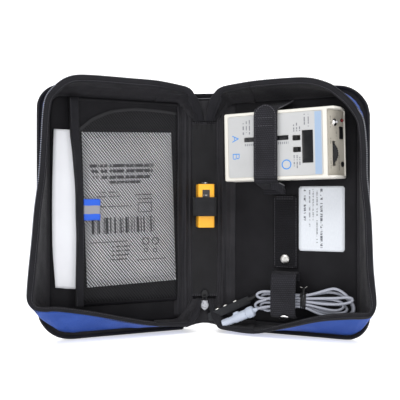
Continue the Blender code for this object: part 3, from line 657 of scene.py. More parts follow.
def pillow(name, place, u0, w, h, r, n0, n1, mat, edge_r=2.1, puff0=0.0, puff1=0.0, seam=None, seed=0.0, z_shift=0.0, bottom=None, top=None):
    """A padded panel with rounded edges: back at n0, front at n1. seam is a sewn line that far inside the edge."""
    zs, ss = ticks(0, h), ticks(0, 1, [t / (w - u0) for t in (0, 0.35, 0.9, 1.7, 2.9, 4.6, 6.2, 6.9, 7.6, 9.5, 13, 18)], 0.06)
    mid, t_half = 0.5 * (n0 + n1), 0.5 * (n1 - n0)
    rows_n, cols_n = len(zs), len(ss)
    verts, uv, front, back = [], [], {}, {}

    def prof(d):
        k = min(1.0, max(0.0, d / edge_r))
        return math.sqrt(max(0.0, 1 - (1 - k) ** 2))
    for i, z in enumerate(zs):
        lim = limit(min(max(z, 0.0), h), 0.0, w, h, r, top) if r > 0 else w
        for j, s in enumerate(ss):
            u = u0 + (lim - u0) * s
            border = i in (0, rows_n - 1) or j in (0, cols_n - 1)
            d = 0.0 if border else max(0.05, edge_distance(u, z, u0, w, h, r, top) if r > 0 else min(u - u0, w - u, z, h - z))
            zz = z + z_shift
            if bottom is not None:
                zz = bottom(u, z)
            body = 1 - math.exp(-max(d - 2, 0) / 14.0)
            groove = 0.55 * math.exp(-((d - seam) / 0.8) ** 2) if seam and not border else 0.0
            for which, sign, puff, store in (("b", -1, puff0, back), ("f", 1, puff1, front)):
                if border and which == "f":
                    store[i, j] = back[i, j]
                    continue
                wave = fbm((u * MM, z * MM, 0.3 * sign), 55, seed + sign) * (0.7 if puff else 0.25) * body
                n = mid + sign * (t_half * prof(d) + puff * body - groove) + wave
                store[i, j] = len(verts)
                verts.append(place(u, zz, n))
                uv.append((u * MM, z * MM))
    faces = []
    for i in range(rows_n - 1):
        for j in range(cols_n - 1):
            for store, flip in ((back, False), (front, True)):
                f = (store[i, j], store[i, j + 1], store[i + 1, j + 1], store[i + 1, j])
                f = tuple(dict.fromkeys(f))
                if len(f) > 2:
                    faces.append(f[::-1] if flip else f)
    return finish_mesh(name, verts, faces, mat, uv, 60)


thread = {b: Many() for b in ("left_half", "right_half", "spine")}
K = 8
HINGE_TOP = {}
EDGE = {}


def outward(path, i):
    ax, ay = path[max(i - 1, 0)]
    bx, by = path[min(i + 1, len(path) - 1)]
    tx, ty = bx - ax, by - ay
    k = math.hypot(tx, ty) or 1.0
    return -ty / k, tx / k


def drift(i, t, side, seed):
    """How far the gusset's cloth stands out of its straight line, mm, at station i and height share t."""
    s = i * 3.2
    q = Vector((s * 0.03, t * 1.3, seed))
    belly = math.sin(math.pi * min(1, t)) * (1.0 + 1.3 * noise.noise(q))
    fold = noise.noise(Vector((s * 0.085, t * 0.8, seed + 4))) * 1.1 * math.sin(math.pi * min(1.0, 0.15 + 0.85 * t))
    return belly + fold


def slim(z):
    """The rim band is folded narrower along the bottom."""
    return lerp(0.62, 1.0, smooth((z - 36) / 32))


def case_half(side):
    tag = "left" if side < 0 else "right"
    body, place = tag + "_half", half(side)
    radii = (TOP_R[side], LOW_R[side], WIDE[side])
    root, rim = catmull(cover_path(ROOT_IN, *radii), K), catmull(RIM[side], K)
    low_root, side_root = catmull(cover_path(7.4 if side < 0 else 4.2, *radii), K), catmull(cover_path(8.6, *radii), K)
    n = len(rim)
    seed = 2.0 + side
    n_dir = direction(place, (0, 0, 1))
    # padded cover with its sewn edge
    cover = pillow(tag + "_cover_padded", place, 1.0, WIDE[side], CASE_H, LOW_R[side], 0.0, COVER_T, BLACK_NYLON, puff0=1.1, seam=6.9, seed=seed, top=TOP_R[side])
    settle(cover, body, [tag + "_cover"])
    ring = catmull(cover_path(6.9, *radii), 6)
    stitches(thread[body], [place(u, z, -0.35) for u, z in ring], -n_dir, 3.4, 2.3, 0.26, 0.1)
    # piping round the cover's edge
    seam = catmull(cover_path(WELT_R + 0.1, *radii), 5)
    centres, frames = [], []
    for i, (u, z) in enumerate(seam):
        ox, oz = outward(seam, i)
        centres.append(place(u, z, COVER_T + GAP + WELT_R))
        frames.append(((place(u + ox, z + oz, 0) - place(u, z, 0)).normalized(), n_dir))
    prof = [((WELT_R - 0.05) * math.cos(a), (WELT_R + 0.15) * math.sin(a)) for a in [2 * math.pi * q / 10 for q in range(10)]]
    settle(swept(tag + "_piping", centres, frames, prof, TAPE), body, [tag + "_welt"])
    # blue cloth outside, with the black zip tape above it
    rows, tape_rows = [], []
    for i, ((ru, rz), (su, sz)) in enumerate(zip(root, rim)):
        ox, oz = outward(rim, i)
        top = rim_n(su) - 1.2
        f = smooth((rz - 14) / 50.0)
        ru, rz = lerp(low_root[i][0], side_root[i][0], f), lerp(low_root[i][1], side_root[i][1], f)
        row = []
        for j in range(15):
            t = j / 14
            k = drift(i, t, side, seed) * (1.0 if 4 < i < n - 5 else 0.5)
            row.append(place(lerp(ru, su, t) + ox * k * (1 - t ** 6), lerp(rz, sz, t) + oz * k * (1 - t ** 6), lerp(5.7 if side < 0 else 4.6, top, t)))
        rows.append(row)
        tape_rows.append([row[12].lerp(row[13], 0.6) + (place(ox * 0.5, oz * 0.5, 0) - place(0, 0, 0)), row[13] + (place(ox * 0.55, oz * 0.55, 0) - place(0, 0, 0)), row[14] + (place(ox * 0.3, oz * 0.3, 0.3) - place(0, 0, 0))])
    o = grid(tag + "_gusset_blue", rows, BLUE, 0.7, -1 if side > 0 else 1)
    settle(o, body, [tag + "_gusset"])
    settle(grid(tag + "_zip_tape", tape_rows, TAPE, 0.5, 0.0), body)
    # rim band: the folded edge that faces forward
    prof = [(0.3, -2.9), (-0.1, -1.7), (0.0, -0.7), (0.6, -0.12), (1.8, 0.08), (3.6, 0.06), (4.5, -0.1), (4.85, -0.5), (5.1, -0.62), (5.35, -0.5), (5.7, -0.15), (6.3, -0.35), (6.55, -1.2), (6.4, -2.8)]
    centres, frames = [], []
    for i, (su, sz) in enumerate(rim):
        ox, oz = outward(rim, i)
        inner = place(su - ox * 6, sz - oz * 6, rim_n(su - ox * 6) - GAP)
        outer = place(su, sz, rim_n(su) - GAP)
        s = (inner - outer).normalized()
        t = (place(*rim[min(i + 1, n - 1)], rim_n(su)) - place(*rim[max(i - 1, 0)], rim_n(su))).normalized()
        up = s.cross(t).normalized()
        if up.dot(n_dir) < 0:
            up = -up
        w = 0.35 * noise.noise(Vector((i * 0.11, seed, 2.0)))
        centres.append(outer + up * (w * MM))
        frames.append((s * slim(sz), up))
    settle(swept(tag + "_rim_band", centres, frames, prof, TAPE, 45), body, [tag + "_zip_band"])
    EDGE[side] = (centres, frames)
    stitches(thread[body], [c + s * (5.1 * MM) - u * (0.5 * MM) for c, (s, u) in zip(centres, frames)], n_dir, 2.6, 1.8, 0.2, 0.1)
    # teeth along the outer edge
    teeth = Many()
    pts = np.array([tuple(c) for c in centres])
    step = np.concatenate([[0], np.cumsum(np.linalg.norm(np.diff(pts, axis=0), axis=1))])
    count = int(step[-1] / 0.0018)
    for q in range(count):
        s0 = (q + 0.5) * step[-1] / count
        i = min(int(np.searchsorted(step, s0)) - 1, n - 2)
        f = (s0 - step[i]) / (step[i + 1] - step[i])
        c = centres[i].lerp(centres[i + 1], f)
        s, u = frames[i]
        t = (centres[i + 1] - centres[i]).normalized()
        share = s0 / step[-1]
        # teeth along the outer side take the lighter grey copy: painted highlight
        glint_side = (0.30 < share < 0.645) if side > 0 else (0.27 < share < 0.66)
        teeth.block(c - s * (0.45 * MM) - u * (0.75 * MM), t, s, u, 0.36 * MM, 0.5 * MM, 0.9 * MM, 0.5, 0 if glint_side else 1)
    settle(teeth.make(tag + "_zip_teeth", [TEETH_PAINTED_GLINT, TEETH_DARK], 35), body)
    # black inner wall
    rows = []
    for i, ((ru, rz), (su, sz)) in enumerate(zip(root, rim)):
        ox, oz = outward(rim, i)
        px_, pz_ = outward(root, i)
        w = 5.9 * slim(sz)
        a = (su - ox * w, sz - oz * w, rim_n(su - ox * w) - 1.4)
        b = (ru - px_ * 2.9, rz - pz_ * 2.9, 8.8)
        c = (ru - px_ * 5.8, rz - pz_ * 5.8, 6.75)
        row = []
        for j in range(17):
            t = j / 16
            if t < 0.85:
                q = t / 0.85
                p = [lerp(a[k], b[k], q) for k in range(3)]
                dr = drift(i, 1 - q, side, seed)
                wr = noise.noise(Vector((i * 0.22, q * 2.2, seed + 9))) * 0.9 + noise.noise(Vector((i * 0.55, q * 3.5, seed + 12))) * 0.4
                k = (dr * 0.8 + wr) * math.sin(math.pi * min(1, q * 0.96 + 0.02))
                p[0] += ox * min(k, dr - 1.5 + 2.4)
                p[1] += oz * min(k, dr - 1.5 + 2.4)
            else:
                q = (t - 0.85) / 0.15
                p = [lerp(b[k], c[k], q) - (1.1 if k == 2 else 0) * math.sin(math.pi * q) * 0.5 for k in range(3)]
            row.append(place(*p))
        rows.append(row)
    o = grid(tag + "_inner_wall", rows, FACING, 0.6, 0.0)
    settle(o, body)
    # lining of the cover
    zs = [lerp(10.0, 253.0, i / 46) for i in range(47)]
    rows = []
    for z in zs:
        lim = limit(z, 10.2, w=WIDE[side], r0=LOW_R[side], top=TOP_R[side])
        row = []
        for j in range(27):
            u = lerp(9.0, lim, j / 26)
            wave = 0.20 * fbm((u * MM, z * MM, side), 30, seed) + 0.12 * fbm((u * MM, z * MM, side), 10, seed + 3)
            row.append(place(u, z, 6.42 + wave))
        rows.append(row)
    o = grid(tag + "_lining_cloth", rows, LINING)
    thicken(o, 1.5, -n_dir)
    settle(o, body, [tag + "_lining"])


case_half(-1)
case_half(1)


# ------------------------------------------------------------------ spine and the cloth over its hinges
def spine_place(x, z, n):
    return world(x, n, z)


def spine_bottom(u, z):
    """The spine's lower edge is drawn up a little in the middle."""
    lift = 5.5 * math.cos(u / 21.4 * math.pi / 2) * smooth(1 - z / 60.0)
    return z + 1.0 * smooth(1 - z / 40) + lift


board = pillow("spine_board_padded", spine_place, -21.4, 21.4, CASE_H, 0, 0.0, 4.3, BLACK_NYLON, puff0=0.9, seam=None, seed=5.0, bottom=spine_bottom)
settle(board, "spine", ["spine_board"])

# lining of the spine, tight between two sewn seams
rows = []
for i in range(54):
    z = lerp(36.5, 231.0, i / 53)
    row = []
    for j in range(19):
        x = lerp(-15.5, 15.5, j / 18)
        end = min(1.0, (z - 36.5) / 14.0, (231.0 - z) / 14.0)
        pull = (1 - end) * 0.5 * math.sin(x * 1.15 + 0.8) * (1 if z > 130 else 0.8)
        wave = 0.95 * fbm((x * MM, z * MM * 0.45, 1.0), 26, 6.0) + 0.3 * fbm((x * MM, z * MM, 1.0), 9, 8.0)
        crown = 0.9 * math.cos(x / 15.5 * math.pi / 2) * end
        p = 7.4 + crown * 0.8 + wave * 0.9 + pull
        if 118 < z < 147:
            p = min(p, 7.6)
        row.append(world(x, max(6.9, p), z))
    rows.append(row)
o = grid("spine_lining_cloth", rows, SPINE_CLOTH, 0.6, 0.0)
settle(o, "spine", ["spine_lining"])

HINGE = {-1: [(33.97, 11.75), (31.0, 13.2), (28.6, 15.2), (26.4, 11.8), (24.4, 10.2), (22.6, 11.8), (20.8, 12.8), (19.2, 10.0), (17.8, 9.0), (16.4, 9.9), (14.6, 8.3), (12.8, 6.9)],
         1: [(33.97, 11.75), (31.0, 12.0), (28.0, 12.4), (25.6, 10.6), (23.6, 10.0), (21.2, 11.4), (19.2, 12.4), (17.8, 10.0), (16.4, 9.0), (15.0, 10.0), (13.6, 8.0), (12.2, 6.9)]}
for side, tag in ((-1, "left"), (1, "right")):
    line = catmull(HINGE[side], 4)
    base = catmull([(33.97, 11.75), (28.0, 9.6), (22.0, 7.8), (16.0, 7.2), (12.5, 6.9)], 4)
    rows = []
    for i in range(60):
        z = lerp(15.0, 250.0, i / 59)
        fade = min(1.0, 0.35 + (z - 15) / 40.0, 0.35 + (250 - z) / 30.0)
        row = []
        for j, (x, p) in enumerate(line):
            q = j / (len(line) - 1) * (len(base) - 1)
            bi = min(int(q), len(base) - 2)
            bx, bp = (lerp(base[bi][k], base[bi + 1][k], q - bi) for k in range(2))
            f = fade * (0.82 + 0.5 * noise.noise(Vector((z * 0.02, x * 0.12, side * 3.0))))
            w = 0.7 * noise.noise(Vector((z * 0.035, x * 0.3, side * 5.0)))
            row.append(world(side * (lerp(bx, x, f) + w), lerp(bp, p, f), z))
        rows.append(row)
    o = grid(tag + "_hinge_lining", rows, FACING, 0.6, 0.0)
    settle(o, blend=("spine", tag + "_half", world(side * 17.0, 8, 130), world(side * 29.0, 11, 130)))
    # outer hinge cloth at the back
    rows = []
    for i in range(40):
        z = lerp(0.6, 262.4, i / 39)
        row = [world(side * x, p, z + (spine_bottom(x, z) - z)) for x, p in ((13.0, 0.6), (15.0, -0.5), (17.5, -0.9), (20.0, -0.8))]
        row += [half(side)(u, z, nn + 0.25 * noise.noise(Vector((z * 0.05, u * 0.2, side)))) for u, nn in ((0.0, -0.8), (2.5, -1.3), (5.0, -1.5), (8.0, -1.5), (9.6, -0.4))]
        rows.append(row)
    o = grid(tag + "_hinge_cloth", rows, BLACK_NYLON, 0.5, 0.0)
    settle(o, blend=("spine", tag + "_half", world(side * 18.5, 0, 130), world(side * 25.0, 1.5, 130)))


def rim_tail(side, top):
    """Last few (outer, inner) points of the rim band at its spine end."""
    centres, frames = EDGE[side]
    idx = [16, 8, 0] if top else [len(centres) - 17, len(centres) - 9, len(centres) - 1]
    return [centres[i] for i in idx], [centres[i] + frames[i][0] * (6.4 * MM) for i in idx]


VEE = {
    (-1, 1): ([(-11.5, 24, 258.4), (-7.5, 20.5, 253.4), (-4.3, 16, 246), (-1.9, 12, 237.8), (-1.2, 9.6, 231)],
              [(-17.5, 23, 251.5), (-15, 19.5, 245.5), (-12.6, 15.5, 240), (-10.6, 12.2, 235.5), (-9.8, 9.6, 230.5)],
              [(-26, 11.2, 247), (-20, 10.0, 240), (-15.0, 8.6, 231)]),
    (1, 1): ([(10.4, 24, 259.6), (6.6, 20.5, 254.4), (4.1, 16, 247), (2.1, 12, 238.5), (1.4, 9.6, 231)],
             [(18.5, 22.5, 252.0), (16.0, 19, 246.0), (13.6, 15.2, 240.4), (11.6, 12, 235.5), (10.6, 9.6, 230.5)],
             [(27, 11.2, 247), (20.5, 10.0, 240), (15.2, 8.6, 231)]),
    (-1, 0): ([(-11.2, 24, 13.2), (-6.5, 18.6, 20.0), (-4.8, 14, 28.5), (-3.6, 11, 35.0)],
              [(-17.2, 22.5, 17.0), (-11.8, 17.8, 22.4), (-9.2, 13.6, 29.0), (-8.2, 11, 35.2)],
              [(-26, 11.2, 17.5), (-20, 9.8, 25), (-14.8, 8.4, 36.5)]),
    (1, 0): ([(12.4, 24, 9.6), (7.6, 18.6, 17.6), (5.2, 14, 27.0), (3.6, 11, 35.0)],
             [(18.2, 22.5, 15.0), (12.8, 17.6, 21.6), (9.6, 13.4, 28.6), (8.2, 11, 35.2)],
             [(26, 11.2, 17.0), (20, 9.8, 25), (14.8, 8.4, 36.5)]),
}
for (side, top), (outer, inner, base) in VEE.items():
    tag = ("left" if side < 0 else "right") + ("_top" if top else "_bottom")
    body = ("left" if side < 0 else "right") + "_half"
    place = half(side)
    head_o, head_i = rim_tail(side, top)
    eo = resample([head_o[1], head_o[2]] + [world(*p) for p in outer], 34)
    ei = resample([head_i[1], head_i[2]] + [world(*p) for p in inner], 34)
    rows = []
    front = Vector((0, -1, 0))
    for i, (a, b) in enumerate(zip(eo, ei)):
        row = []
        for q, h in ((0.0, -1.6), (0.02, -0.5), (0.1, 0.15), (0.3, 0.4), (0.55, 0.35), (0.74, 0.1), (0.8, -0.35), (0.86, 0.0), (0.95, -0.1), (1.0, -1.4)):
            row.append(a.lerp(b, q) + front * ((h - 0.1) * MM))
        rows.append(row)
    zone = (world(side * 3.0, 10, 238 if top else 30), world(side * 17.0, 24, 262 if top else 10))
    o = grid(tag + "_rim_end", rows, TAPE, 1.4, 0.0)
    settle(o, blend=("spine", body, *zone))
    # inner wall down to the spine
    start = resample([place(37, 250.0 if top else 13.0, 6.9), place(14, 250.5 if top else 12.5, 6.9)] + [world(*p) for p in base], 34)
    mid = []
    for i, (a, b) in enumerate(zip(ei, start)):
        mid.append(a.lerp(b, 0.5) + Vector((side * 0.0012, 0.002, (0.0016 if top else -0.0016))) + Vector((0, 0, 1)) * (0.0012 * noise.noise(Vector((i * 0.3, side, top)))))
    rows = loft([[p + Vector((0, 0.0012, 0)) for p in ei], mid, start], 34, 5)
    for i, row in enumerate(rows):
        for j in range(1, len(row) - 1):
            row[j] = row[j] + Vector((0, -1, 0)) * (0.0011 * noise.noise(Vector((i * 0.28, j * 0.5, side * 3 + top))))
    o = grid(tag + "_corner_cloth", rows, FACING, 0.6, 0.0)
    settle(o, blend=("spine", body, world(side * 12, 9, 231 if top else 36), world(side * 24, 18, 256 if top else 14)))

# cloth between the two rim ends, and the bound edge behind it
for top in (1, 0):
    rows = []
    for i in range(20):
        t = i / 19
        z = lerp(254.6, 231.5, t) if top else lerp(9.0, 35.0, t)
        hw = lerp(17.0, 5.0, t)
        row = []
        for j in range(15):
            q = j / 14 * 2 - 1
            fold = 1.2 * math.cos(q * math.pi * 1.5) * math.sin(math.pi * min(1, t * 0.9 + 0.1)) + 0.7 * noise.noise(Vector((q * 2, t * 3, top + 4.0)))
            row.append(world(q * hw, 6.8 + 1.6 * t + fold, z))
        rows.append(row)
    o = grid("spine_gusset_" + ("top" if top else "bottom"), rows, FACING, 0.6, 0.0)
    settle(o, "spine", ["spine_top_fold"] if top else ["spine_bottom_fold"])
edge = Many()
# the thick tube is the binding; the thin light-grey tube below it is a painted highlight along its edge
for z, r, p in ((259.9, 2.5, 6.0), (256.6, 0.55, 8.0)):
    rings = []
    for i in range(30):
        x = lerp(-20.5, 20.5, i / 29)
        rings.append([world(x, p + r * 0.75 * math.cos(a), z + 0.02 * x + r * math.sin(a)) for a in [2 * math.pi * q / 12 for q in range(12)]])
    edge.rings(rings, 0 if r > 1 else 1)
settle(edge.make("spine_top_binding", [TAPE, plastic("binding_edge_painted_highlight", (0.10, 0.10, 0.115), 0.45, 0.00004, 0.1)]), "spine")
# sewn seams across the spine
for z in (229.8, 228.3, 38.2, 39.6):
    stitches(thread["spine"], [world(x, 8.0 + 0.55 * math.cos(x / 15.5 * 1.5), z) for x in np.linspace(-14.8, 14.8, 30)], Vector((0, -1, 0)), 2.4, 1.7, 0.22, 0.25)
for body, many in thread.items():
    settle(many.make(body + "_stitches", [THREAD], 40), body)


# ------------------------------------------------------------------ left half: booklet, pockets, pouch, tab
def paper_material(name, colour, spec=0.35):
    k = Nodes(name, 0.55, Specular_IOR_Level=spec)
    big = k.noise(k.coords(False), 22.0, 3.0)
    fibre = k.noise(k.coords(False), 700.0, 4.0)
    k.colour(k.mix(k.remap(big, 0.3, 0.7, 0, 1), tuple(0.94 * c for c in colour), colour))
    k.rough(k.remap(fibre, 0.3, 0.7, 0.5, 0.66))
    k.bump(fibre, 0.00004, 0.7)
    k.bump(big, 0.0009, 0.4)
    return k


PAPER = paper_material("booklet_paper", (0.84, 0.85, 0.89)).m

booklet = Many()
rings = []


def booklet_edge(z):
    return 143.6 + 2.5 * math.sin(math.pi * min(1, max(0, (z - 40) / 190.0))) ** 0.8 - 1.6 * smooth((100 - z) / 60.0)


for i in range(44):
    z = lerp(51.6, 216.3, i / 43)
    e = booklet_edge(z)
    prof = [(42, 6.95), (120, 6.95), (e - 1.0, 6.95), (e - 0.5, 7.1), (e - 1.1, 7.22), (e - 0.3, 7.4), (e - 0.9, 7.55), (e - 0.2, 7.75), (e - 0.8, 7.9), (e, 8.1), (e - 0.6, 8.22), (e - 0.4, 8.4), (e - 6, 8.5), (130, 8.5), (110, 8.45), (42, 8.4)]
    t = 1 - i / 43
    rings.append([LEFT(u, z + max(0.0, (u - 122) * 0.14) * smooth(t * 1.2 - 0.2) + 0.25 * noise.noise(Vector((nn * 3, u * 0.1, 1.0))) * (i in (0, 43)), nn) for u, nn in prof])
booklet.rings(rings)
settle(booklet.make("booklet_pages", [PAPER], 30), "booklet", ["booklet"])
rows = []
for i in range(60):
    t = i / 59
    z = lerp(51.8, 216.4, t)
    row = []
    for j in range(26):
        s = j / 25
        u = lerp(42, booklet_edge(z) + 0.15, s)
        lift = 0.9 * smooth((s - 0.86) / 0.14) * (0.55 + 0.45 * math.sin(z * 0.045)) + 0.9 * smooth((s - 0.93) / 0.07) * smooth((0.12 - t) / 0.12)
        wave = 0.18 * fbm((u * MM, z * MM, 0), 28, 3.0)
        row.append(LEFT(u, z + max(0.0, (u - 122) * 0.14) * smooth((1 - t) * 1.2 - 0.2), 8.7 + lift + wave * (1 if u < 126 else 1.6)))
    rows.append(row)
o = grid("booklet_cover", rows, PAPER, 0.22, 0.0, smooth=80)
settle(o, "booklet")

def binding_u(z):
    return float(np.interp(z, [34, 52, 100, 154, 190, 215, 249], [122.8, 122.4, 121.7, 122.8, 125.6, 128.2, 129.8]))


# plain pocket behind the net
rows = []
zs = [33.0, 33.5, 34.6, 37, 42] + [lerp(48, 246, i / 33) for i in range(34)] + [248.5, 250.0]
us = [10.0, 10.5, 11.6, 14, 18] + [lerp(24, 122, i / 22) for i in range(23)] + [125.5, 126.8]
for z in zs:
    row = []
    for u in us:
        rise = smooth((u - 10.0) / 1.9) * smooth((z - 33.0) / 1.9)
        wave = 0.4 * fbm((u * MM, z * MM, 3), 45, 9.0) + 0.2 * fbm((u * MM, z * MM, 3), 14, 11.0)
        if u > 90:
            u = lerp(90, binding_u(z) - 1.4, (u - 90) / 36.8)
        row.append(LEFT(u, z, 7.1 + rise * (2.55 + wave * 0.7)))
    rows.append(row)
o = grid("pocket_cloth", rows, LINING, 0.6, 0.0)
settle(o, "left_half", ["pocket_panel"])
hems = Many()
rings = []
for u in [lerp(10.6, 127, i / 30) for i in range(31)]:
    c = 9.9 + 0.3 * fbm((u * MM, 0.25, 3), 45, 9.0)
    rings.append([LEFT(u, 248.4 + 2.0 * math.cos(a), c + 0.75 * math.sin(a)) for a in [2 * math.pi * q / 10 for q in range(10)]])
hems.rings(rings)

# the pouch, with its crimped edges
def pouch_frame(x, y, n):
    t = math.radians(-2.0)
    return LEFT(65 + x * math.cos(t) - y * math.sin(t), 135.4 + x * math.sin(t) + y * math.cos(t), n)


k = Nodes("pouch_foil", 0.36, 0.15, Specular_IOR_Level=0.6)
px_, py_, _ = k.split(k.coords(True))
ink = None


def add_ink(mask, strength=1.0):
    global ink
    m = k.math("MULTIPLY", mask, strength)
    ink = m if ink is None else k.math("MAXIMUM", ink, m)


dash = k.noise(k.scaled(k.coords(True), (1.0, 0.04, 1.0)), 420.0, 1.0)
dash_mask = k.math("GREATER_THAN", dash, 0.43)
word = k.math("GREATER_THAN", k.noise(k.scaled(k.coords(True), (1.0, 0.12, 1.0)), 150.0, 1.0), 0.34)
for x0, x1, y, hgt in ((-28, 42, 45.4, 3.4), (-26, 40, 39.6, 3.4), (-24, 39, 33.2, 3.4), (-12, 24, 27.8, 3.0), (14, 36, 17.5, 1.6), (10, 36, 13.0, 1.6), (-24, -6, 14.0, 1.6), (-24, -8, 9.5, 1.6), (2, 23, -40, 1.6), (2, 22, -44.5, 1.6), (4, 22, -49, 1.6), (6, 24, -53.5, 1.6), (-2, 40, 2.5, 1.4)):
    area = k.rect(px_, py_, x0 * MM, (y - hgt / 2) * MM, x1 * MM, (y + hgt / 2) * MM)
    add_ink(k.math("MULTIPLY", k.math("MULTIPLY", area, dash_mask), word), 0.9)
bars = k.math("GREATER_THAN", k.noise(k.scaled(k.coords(True), (1.0, 0.001, 1.0)), 330.0, 2.0), 0.5)
add_ink(k.math("MULTIPLY", k.rect(px_, py_, -27 * MM, -26 * MM, 42 * MM, -9 * MM), bars), 0.95)
for x0, y0, x1, y1 in ((4, -35.3, 44, -34.1), (-37, -56.2, -5, -55.2), (-24, -5, -8, 6)):
    add_ink(k.rect(px_, py_, x0 * MM, y0 * MM, x1 * MM, y1 * MM), 0.8)
inner = k.rect(px_, py_, -22.6 * MM, -3.6 * MM, -9.4 * MM, 4.6 * MM)
ink = k.math("SUBTRACT", ink, inner, clamp=True)
for cx, cy, r in ((-15.6, -36.0, 4.2), (-26.4, -36.4, 4.2), (-15.6, -45.5, 2.6), (-25.8, -46.4, 2.6)):
    dx, dy = k.math("SUBTRACT", px_, cx * MM), k.math("SUBTRACT", py_, cy * MM)
    dist = k.math("SQRT", k.math("ADD", k.math("MULTIPLY", dx, dx), k.math("MULTIPLY", dy, dy)))
    ring = k.math("MULTIPLY", k.math("LESS_THAN", dist, r * MM), k.math("GREATER_THAN", dist, (r - 1.3) * MM))
    add_ink(ring, 0.85)
big = k.noise(k.coords(False), 30.0, 4.0)
base = k.mix(k.remap(big, 0.3, 0.7, 0, 1), (0.80, 0.81, 0.86), (0.90, 0.91, 0.95))
k.colour(k.mix(ink, base, (0.045, 0.045, 0.055)))
k.rough(k.remap(k.noise(k.coords(False), 110.0, 3.0), 0.3, 0.7, 0.28, 0.46))
ax, ay = k.math("ABSOLUTE", px_), k.math("ABSOLUTE", py_)
rim_mask = k.math("MAXIMUM", k.math("GREATER_THAN", ax, 0.0435), k.math("GREATER_THAN", ay, 0.0745))
crimp = k.math("MULTIPLY", rim_mask, k.math("SINE", k.math("MULTIPLY", k.math("ADD", px_, py_), 2 * math.pi / 0.0014)))
k.bump(crimp, 0.00025, 0.8)
k.bump(k.noise(k.coords(False), 90.0, 4.0), 0.0012, 0.5)
FOIL = k.m

verts, uv, faces, store = [], [], [], {}
xs, ys = ticks(-49, 49, (0, 0.5, 2, 4, 6, 7.5, 9, 11, 14, 18), 5.0), ticks(-80.6, 80.6, (0, 0.5, 2, 4, 6, 7.5, 9, 11, 14, 18), 5.0)
for i, y in enumerate(ys):
    for j, x in enumerate(xs):
        d = min(x + 49, 49 - x, y + 80.6, 80.6 - y)
        th = 0.14 + 0.85 * smooth((d - 6.0) / 13.0)
        w = (0.34 * fbm((x * MM, y * MM, 0), 26, 21.0) + 0.16 * fbm((x * MM, y * MM, 0), 9, 23.0)) * smooth(d / 5.0) * 1.6
        curl = 0.25 * math.sin(x * 0.11 + y * 0.05) * (1 - smooth(d / 9.0))
        for sgn, tag in ((-1, "b"), (1, "f")):
            if sgn > 0 and d <= 0:
                store[i, j, "f"] = store[i, j, "b"]
                continue
            store[i, j, tag] = len(verts)
            verts.append(pouch_frame(x, y, 11.35 + sgn * th + w + curl))
            uv.append((x * MM, y * MM))
for i in range(len(ys) - 1):
    for j in range(len(xs) - 1):
        for tag in "bf":
            f = tuple(dict.fromkeys((store[i, j, tag], store[i, j + 1, tag], store[i + 1, j + 1, tag], store[i + 1, j, tag])))
            if len(f) > 2:
                faces.append(f if tag == "b" else f[::-1])
o = finish_mesh("electrode_pouch_foil", verts, faces, FOIL, uv, 60)
settle(o, "electrode_pouch", ["electrode_pouch"])

# the net
ARC = catmull([(119.4, 217.5), (112, 223.5), (106, 228.5), (97.9, 232.7), (84.8, 238.0), (62.4, 241.6), (38, 241.6), (10.8, 239.5)], 8)


def arc_top(u):
    return float(np.interp(u, [p[0] for p in ARC][::-1], [p[1] for p in ARC][::-1]))


def net_n(u, z):
    rise = smooth((u - 10.6) / 3.0) * smooth((z - 36.0) / 3.5)
    top = arc_top(u)
    free = smooth((top - z) / 22.0)
    belly = 0.35 * fbm((u * MM, z * MM, 5), 50, 31.0)
    return 7.4 + rise * (5.3 + 0.55 * free + belly)


yarns = Many()


def yarn_family(angle, pitch, width, thick, over):
    dx, dz = math.cos(angle), math.sin(angle)
    nx, nz = -dz, dx
    c0, c1 = 64.0, 138.0
    reach = 140.0
    count = int(2 * reach / pitch)
    for q in range(count):
        off = -reach + q * pitch + 0.10 * noise.noise(Vector((q * 0.37, over, 1.0)))
        run = []
        t = -150.0
        while t <= 150.0:
            bend = 0.5 * noise.noise(Vector((q * 0.05, t * 0.02, over + 5.0)))
            u, z = c0 + dx * t + nx * (off + bend), c1 + dz * t + nz * (off + bend)
            if 11.0 < u < 118.9 and 36.4 < z < arc_top(u) - 0.3:
                run.append((u, z))
            elif run:
                break
            t += 1.0
        if len(run) < 4:
            continue
        keep_ = [run[0]] + run[3:-3:7] + [run[-1]]
        rings = []
        for i, (u, z) in enumerate(keep_):
            n = net_n(u, z) + over
            c = LEFT(u, z, n)
            s = (LEFT(u + nx, z + nz, n) - c).normalized()
            up = direction(LEFT, (0, 0, 1))
            rings.append([c + s * (width / 2 * MM), c + up * (thick * MM), c - s * (width / 2 * MM), c - up * (thick * MM)])
        yarns.rings(rings)


# in the picture the heavy yarns run down to the right; u grows to the left here
yarn_family(math.radians(50), 2.5, 0.94, 0.16, 0.12)
yarn_family(math.radians(128), 1.9, 0.40, 0.12, -0.12)
o = yarns.make("pocket_net", [NET], 80)
settle(o, "left_half", ["mesh_pocket"])
NET_OBJ = o
for path, r in (([(u, z - 1.3) for u, z in ARC], 1.7), ([(11.2, 36.6 + i * 6.7) for i in range(31)], 1.3), ([(11.2 + i * 3.6, 36.8) for i in range(31)], 1.5)):
    rings = []
    for i, (u, z) in enumerate(path):
        ax_, az_ = path[max(i - 1, 0)]
        bx_, bz_ = path[min(i + 1, len(path) - 1)]
        tx_, tz_ = bx_ - ax_, bz_ - az_
        ln = math.hypot(tx_, tz_)
        sx_, sz_ = -tz_ / ln, tx_ / ln
        n = net_n(max(u, 11.2), min(z, arc_top(u))) + 0.1
        rings.append([LEFT(u + sx_ * r * math.cos(a), z + sz_ * r * math.cos(a), n + 0.38 * math.sin(a)) for a in [2 * math.pi * q / 8 for q in range(8)]])
    hems.rings(rings, 1)
settle(hems.make("pocket_hems", [LINING, NET], 60), "left_half")

